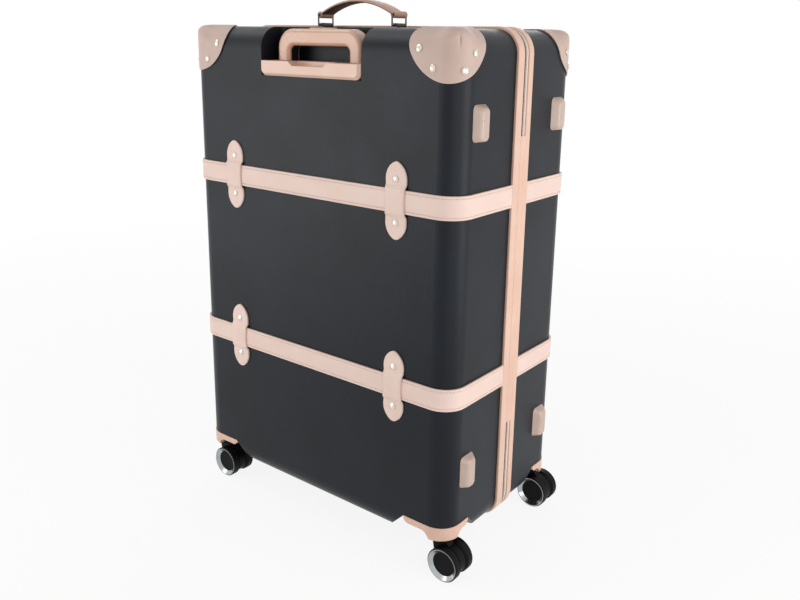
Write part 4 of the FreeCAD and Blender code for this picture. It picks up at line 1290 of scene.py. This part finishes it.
@dataclass(frozen=True)
class ZipTeeth:
    """The moulded teeth of one half's zip, set along its coil."""

    case: CaseForm
    half: Half
    offset: float = 1.55 * MM
    stand: float = 2.15 * MM

    def build(self) -> None:
        """Set the teeth from one end of the hinge round to the other."""
        y = self.case.parting + self.half.value * self.offset
        teeth = ZIP_TOOTH.make(self.half.named("zip_teeth"), [self.case.seam(self.stand, y)])
        settle(teeth, self.half.body, "zip_tape")


@dataclass(frozen=True)
class Lining:
    """Cloth stretched over the inside of one half."""

    half: Half
    finish: Finish
    flat: tuple[float, float]
    joined: float = 0.01 * MM
    sharp: float = 30.0

    def build(self, solid: Thing) -> None:
        """Take the lining's form from its solid, as one joined skin.

        Args:
            solid: the lining's CAD node.
        """
        name = self.half.named("lining_cloth")
        mesh = bpy.data.meshes.new(name)
        work = bmesh.new()
        work.from_mesh(solid.data)
        bmesh.ops.remove_doubles(work, verts=work.verts, dist=self.joined)
        area = sum(face.calc_area() for face in work.faces) / 2
        work.to_mesh(mesh)
        work.free()
        mesh.materials.clear()
        mesh.materials.append(self.finish.material())
        mesh.shade_smooth()
        mesh.set_sharp_from_angle(angle=math.radians(self.sharp))
        cloth = linked(name, mesh)
        settle(cloth, self.half.body, "lining_cloth", self.half.named("lining"))
        self.half.named("shell")


@dataclass(frozen=True)
class HardParts:
    """The moulded and metal pieces, which keep their CAD form and get their finish."""

    case: CaseForm

    def finishes(self) -> dict[Finish, tuple[str, ...]]:
        """Say which nodes wear which finish.

        Returns:
            Each finish with its nodes' names.
        """
        middle = self.case.middle
        # Each cloth's second colour below is the painted shade of its weave's low threads.
        shell = EmbossedSheet("vacuum_formed_embossed_ABS_black", "#111821", 0.36, "#0d1016", 4.2 * MM,
                              middle=middle, specular=0.22)
        # The rear half's zip tape is coloured darker taupe than the front's pale tape: painted shadow that
        # draws the dark line between the rear rim and the coil.
        rear_tape_painted_shadow = WovenCloth("zip_tape_painted_shadow_taupe", "#8f7b70", 0.8, "#7d6a60", 1.2 * MM,
                               middle=middle)
        front_tape = WovenCloth("woven_polyester_tape_pale", "#ead6ca", 0.8, "#dcc4b6", 1.2 * MM,
                                middle=middle)
        board = WovenCloth("cloth_covered_board", "#8d7a6e", 0.85, "#74645a", 1.8 * MM, middle=middle)
        wheels = [f"caster_{half}_{side}" for half in ("rear", "front") for side in ("zip", "hinge")]
        return {
            shell: ("rear_shell", "front_shell"),
            rear_tape_painted_shadow: ("rear_zip",),
            front_tape: ("front_zip",),
            board: ("trolley_cover",),
            PEACH_TRIM: ("rear_rim", "front_rim"),
            ROSE_LACQUER: ("trolley_grip", "trolley_button", "lock_case"),
            PALE_LACQUER: ("trolley_bezel",),
            SATIN_ROSE: ("rear_wheel_housings", "front_wheel_housings"),
            NICKEL: ("rear_rivets", "front_rivets", "zip_slider_upper", "zip_slider_lower"),
            DARK_CHROME: ("top_loop_zip_side", "top_loop_hinge_side", "side_loop_lower", "side_loop_upper",
                          "handle_saddles"),
            DRAWN_ALUMINIUM: ("trolley_outer_tubes", "trolley_middle_tubes", "trolley_inner_tubes"),
            BRACKET_PLASTIC: ("trolley_bracket",),
            DIAL_PLASTIC: ("lock_dial_1", "lock_dial_2", "lock_dial_3", "lock_button"),
            FORK_PLASTIC: tuple(f"{wheel}_fork" for wheel in wheels),
            AXLE_STEEL: tuple(f"{wheel}_axle" for wheel in wheels),
            TYRE_RUBBER: tuple(f"{wheel}_wheels" for wheel in wheels),
            BRIGHT_RING: tuple(f"{wheel}_rings" for wheel in wheels),
        }

    def dress(self, nodes: dict[str, Thing]) -> None:
        """Give each node its finish.

        Args:
            nodes: the CAD nodes by name.
        """
        for finish, names in self.finishes().items():
            for name in names:
                for slot in nodes[name].material_slots:
                    slot.material = finish.material()
            LOG.info("%s on %d nodes", finish.name, len(names))


# The studio
@dataclass(frozen=True)
class SoftBox:
    """A large soft lamp: its power in watts, its width and height, and where it hangs."""

    name: str
    power: float
    size: tuple[float, float]
    place: tuple[float, float, float]

    def hang(self, aim: Vector) -> None:
        """Hang the lamp so that it faces a place, out of the camera's sight.

        Args:
            aim: the place.
        """
        data = bpy.data.lights.new(self.name, "AREA")
        data.shape = "RECTANGLE"
        data.energy = self.power
        data.size, data.size_y = self.size
        lamp = linked(self.name, data)
        facing = (aim - Vector(self.place)).to_track_quat("-Z", "Y")
        lamp.matrix_world = Matrix.Translation(self.place) @ facing.to_matrix().to_4x4()
        lamp.visible_camera = False


@dataclass(frozen=True)
class Studio:
    """A white studio: pale floor, white surround, large soft lamps and the photograph's camera."""

    middle: float
    place: tuple[float, float, float] = (0.7787, -0.9416, 0.7095)
    azimuth: float = 37.861
    pitch: float = 14.481
    roll: float = 0.915
    sensor: float = 36.0
    lens: float = 37.22
    rise: float = -0.0625
    floor_size: float = 12.0
    shadow: float = 0.12
    shadow_reach: tuple[float, float] = (0.7, 2.2)
    ambient: float = 0.46
    aim_height: float = 0.38
    lamps: tuple[SoftBox, ...] = (
        SoftBox("soft_box_right", 7.0, (0.44, 1.0), (1.4, 0.12, 0.52)),
        SoftBox("strip_box_right", 2.6, (0.22, 1.2), (1.15, -0.75, 0.62)),
        SoftBox("soft_box_left", 7.0, (0.9, 1.0), (-0.85, -1.25, 0.52)),
        SoftBox("soft_box_above", 9.0, (1.4, 1.0), (-1.3, -0.5, 2.4)),
        SoftBox("soft_box_far_side", 13.0, (1.2, 1.2), (-1.0, 2.2, 0.9)))

    def camera(self) -> None:
        """Set the camera where the photograph was taken from."""
        data = bpy.data.cameras.new("camera")
        data.sensor_fit = "HORIZONTAL"
        data.sensor_width = self.sensor
        data.lens = self.lens
        data.shift_y = self.rise
        az, pitch, roll = (math.radians(angle) for angle in (self.azimuth, self.pitch, self.roll))
        ahead = Vector((-math.sin(az) * math.cos(pitch), math.cos(az) * math.cos(pitch), -math.sin(pitch)))
        right = ahead.cross(Vector((0, 0, 1))).normalized()
        up = right.cross(ahead)
        level, steep = math.cos(roll), math.sin(roll)
        axes = (right * level + up * steep, up * level - right * steep, -ahead)
        turn = Matrix([[axis[i] for axis in axes] for i in range(3)]).to_4x4()
        camera = linked("camera", data)
        camera.matrix_world = Matrix.Translation(Vector(self.place) + Vector((self.middle, 0, 0))) @ turn
        bpy.context.scene.camera = camera

    @staticmethod
    def seen_directly(tree: Tree) -> Socket:
        """Tell what the camera, mirrors and glass show from what lights the object.

        Args:
            tree: the tree of the world or of the floor's material.

        Returns:
            1 for rays from the camera, mirrors and glass, and 0 for light on the object.
        """
        light = add(tree, "ShaderNodeLightPath").outputs
        seen = light["Is Camera Ray"]
        for ray in ("Is Glossy Ray", "Is Transmission Ray"):
            seen = add(tree, "ShaderNodeMath", {0: seen, 1: light[ray]}, operation="MAXIMUM").outputs[0]
        return seen

    def surround(self) -> None:
        """Make the white surround, which looks white and lights the object at a plain level."""
        world = bpy.data.worlds.new("white_surround")
        tree = cleared(world)
        strength = add(tree, "ShaderNodeMapRange",
                       {"Value": self.seen_directly(tree), "To Min": self.ambient, "To Max": 1.0})
        glow = add(tree, "ShaderNodeBackground",
                   {"Color": linear("#ffffff"), "Strength": strength.outputs["Result"]})
        add(tree, "ShaderNodeOutputWorld", {"Surface": glow.outputs[0]})
        bpy.context.scene.world = world

    def paper(self) -> bpy.types.Material:
        """Make the floor's white paper, which keeps a faint shadow near the case.

        Returns:
            The material.
        """
        paper = bpy.data.materials.new("studio_paper")
        tree = cleared(paper)
        matt = add(tree, "ShaderNodeBsdfDiffuse", {"Color": linear("#f2f2f2")}).outputs[0]
        white = add(tree, "ShaderNodeEmission", {"Color": linear("#ffffff"), "Strength": 1.0}).outputs[0]
        where = add(tree, "ShaderNodeTexCoord").outputs["Object"]
        away = add(tree, "ShaderNodeVectorMath", {0: where}, operation="LENGTH").outputs["Value"]
        near, far = self.shadow_reach
        bare = add(tree, "ShaderNodeMapRange", {"Value": away, "From Min": near, "From Max": far,
                                                "To Min": 1 - self.shadow, "To Max": 1.0}).outputs["Result"]
        share = add(tree, "ShaderNodeMath", {0: self.seen_directly(tree), 1: bare}, operation="MULTIPLY")
        mixed = add(tree, "ShaderNodeMixShader", {0: share.outputs[0], 1: matt, 2: white}).outputs[0]
        add(tree, "ShaderNodeOutputMaterial", {"Surface": mixed})
        return paper

    def floor(self) -> None:
        """Lay the floor."""
        half = self.floor_size / 2
        corners = [(-half, -half, 0), (half, -half, 0), (half, half, 0), (-half, half, 0)]
        mesh = bpy.data.meshes.new("studio_floor")
        mesh.from_pydata(corners, [], [(0, 1, 2, 3)])
        mesh.materials.append(self.paper())
        floor = linked("studio_floor", mesh)

    def build(self) -> None:
        """Set up camera, surround, floor and lamps."""
        bpy.context.scene.view_settings.view_transform = "Standard"
        self.camera()
        self.surround()
        self.floor()
        for lamp in self.lamps:
            lamp.hang(Vector((self.middle, 0, self.aim_height)))


def main() -> None:
    """Load the frame, build and dress every piece and set up the studio."""
    logging.basicConfig(level=logging.INFO, format="%(name)s: %(message)s")
    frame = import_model()
    nodes = frame["nodes"]
    case = CaseForm.from_frame()
    HardParts(case).dress(nodes)
    # The lining's second colour is the painted shade of its weave's low threads.
    lining = WovenCloth("woven_polyester_lining", "#9a857a", 0.85, "#7f6d63", 2.2 * MM, middle=case.middle)
    # Flat sizes of the cloth: a band round the rear half's wall, and a blank folded up at the front's walls
    flat_sizes = {Half.REAR: (0.1, 2.3), Half.FRONT: (0.76, 0.96)}
    for half in Half:
        belts = Belts(case, half)
        belts.build()
        Keepers(belts).build()
        CornerCaps(case, half).build()
        SideFeet(half).build()
        ZipTeeth(case, half).build()
        Lining(half, lining, flat_sizes[half]).build(nodes[half.named("lining")])
    HingeStrip(case).build()
    GripOpeningStrip().build()
    CarryHandles(case).build()
    Studio(case.middle).build()


if __name__ == "__main__":
    main()
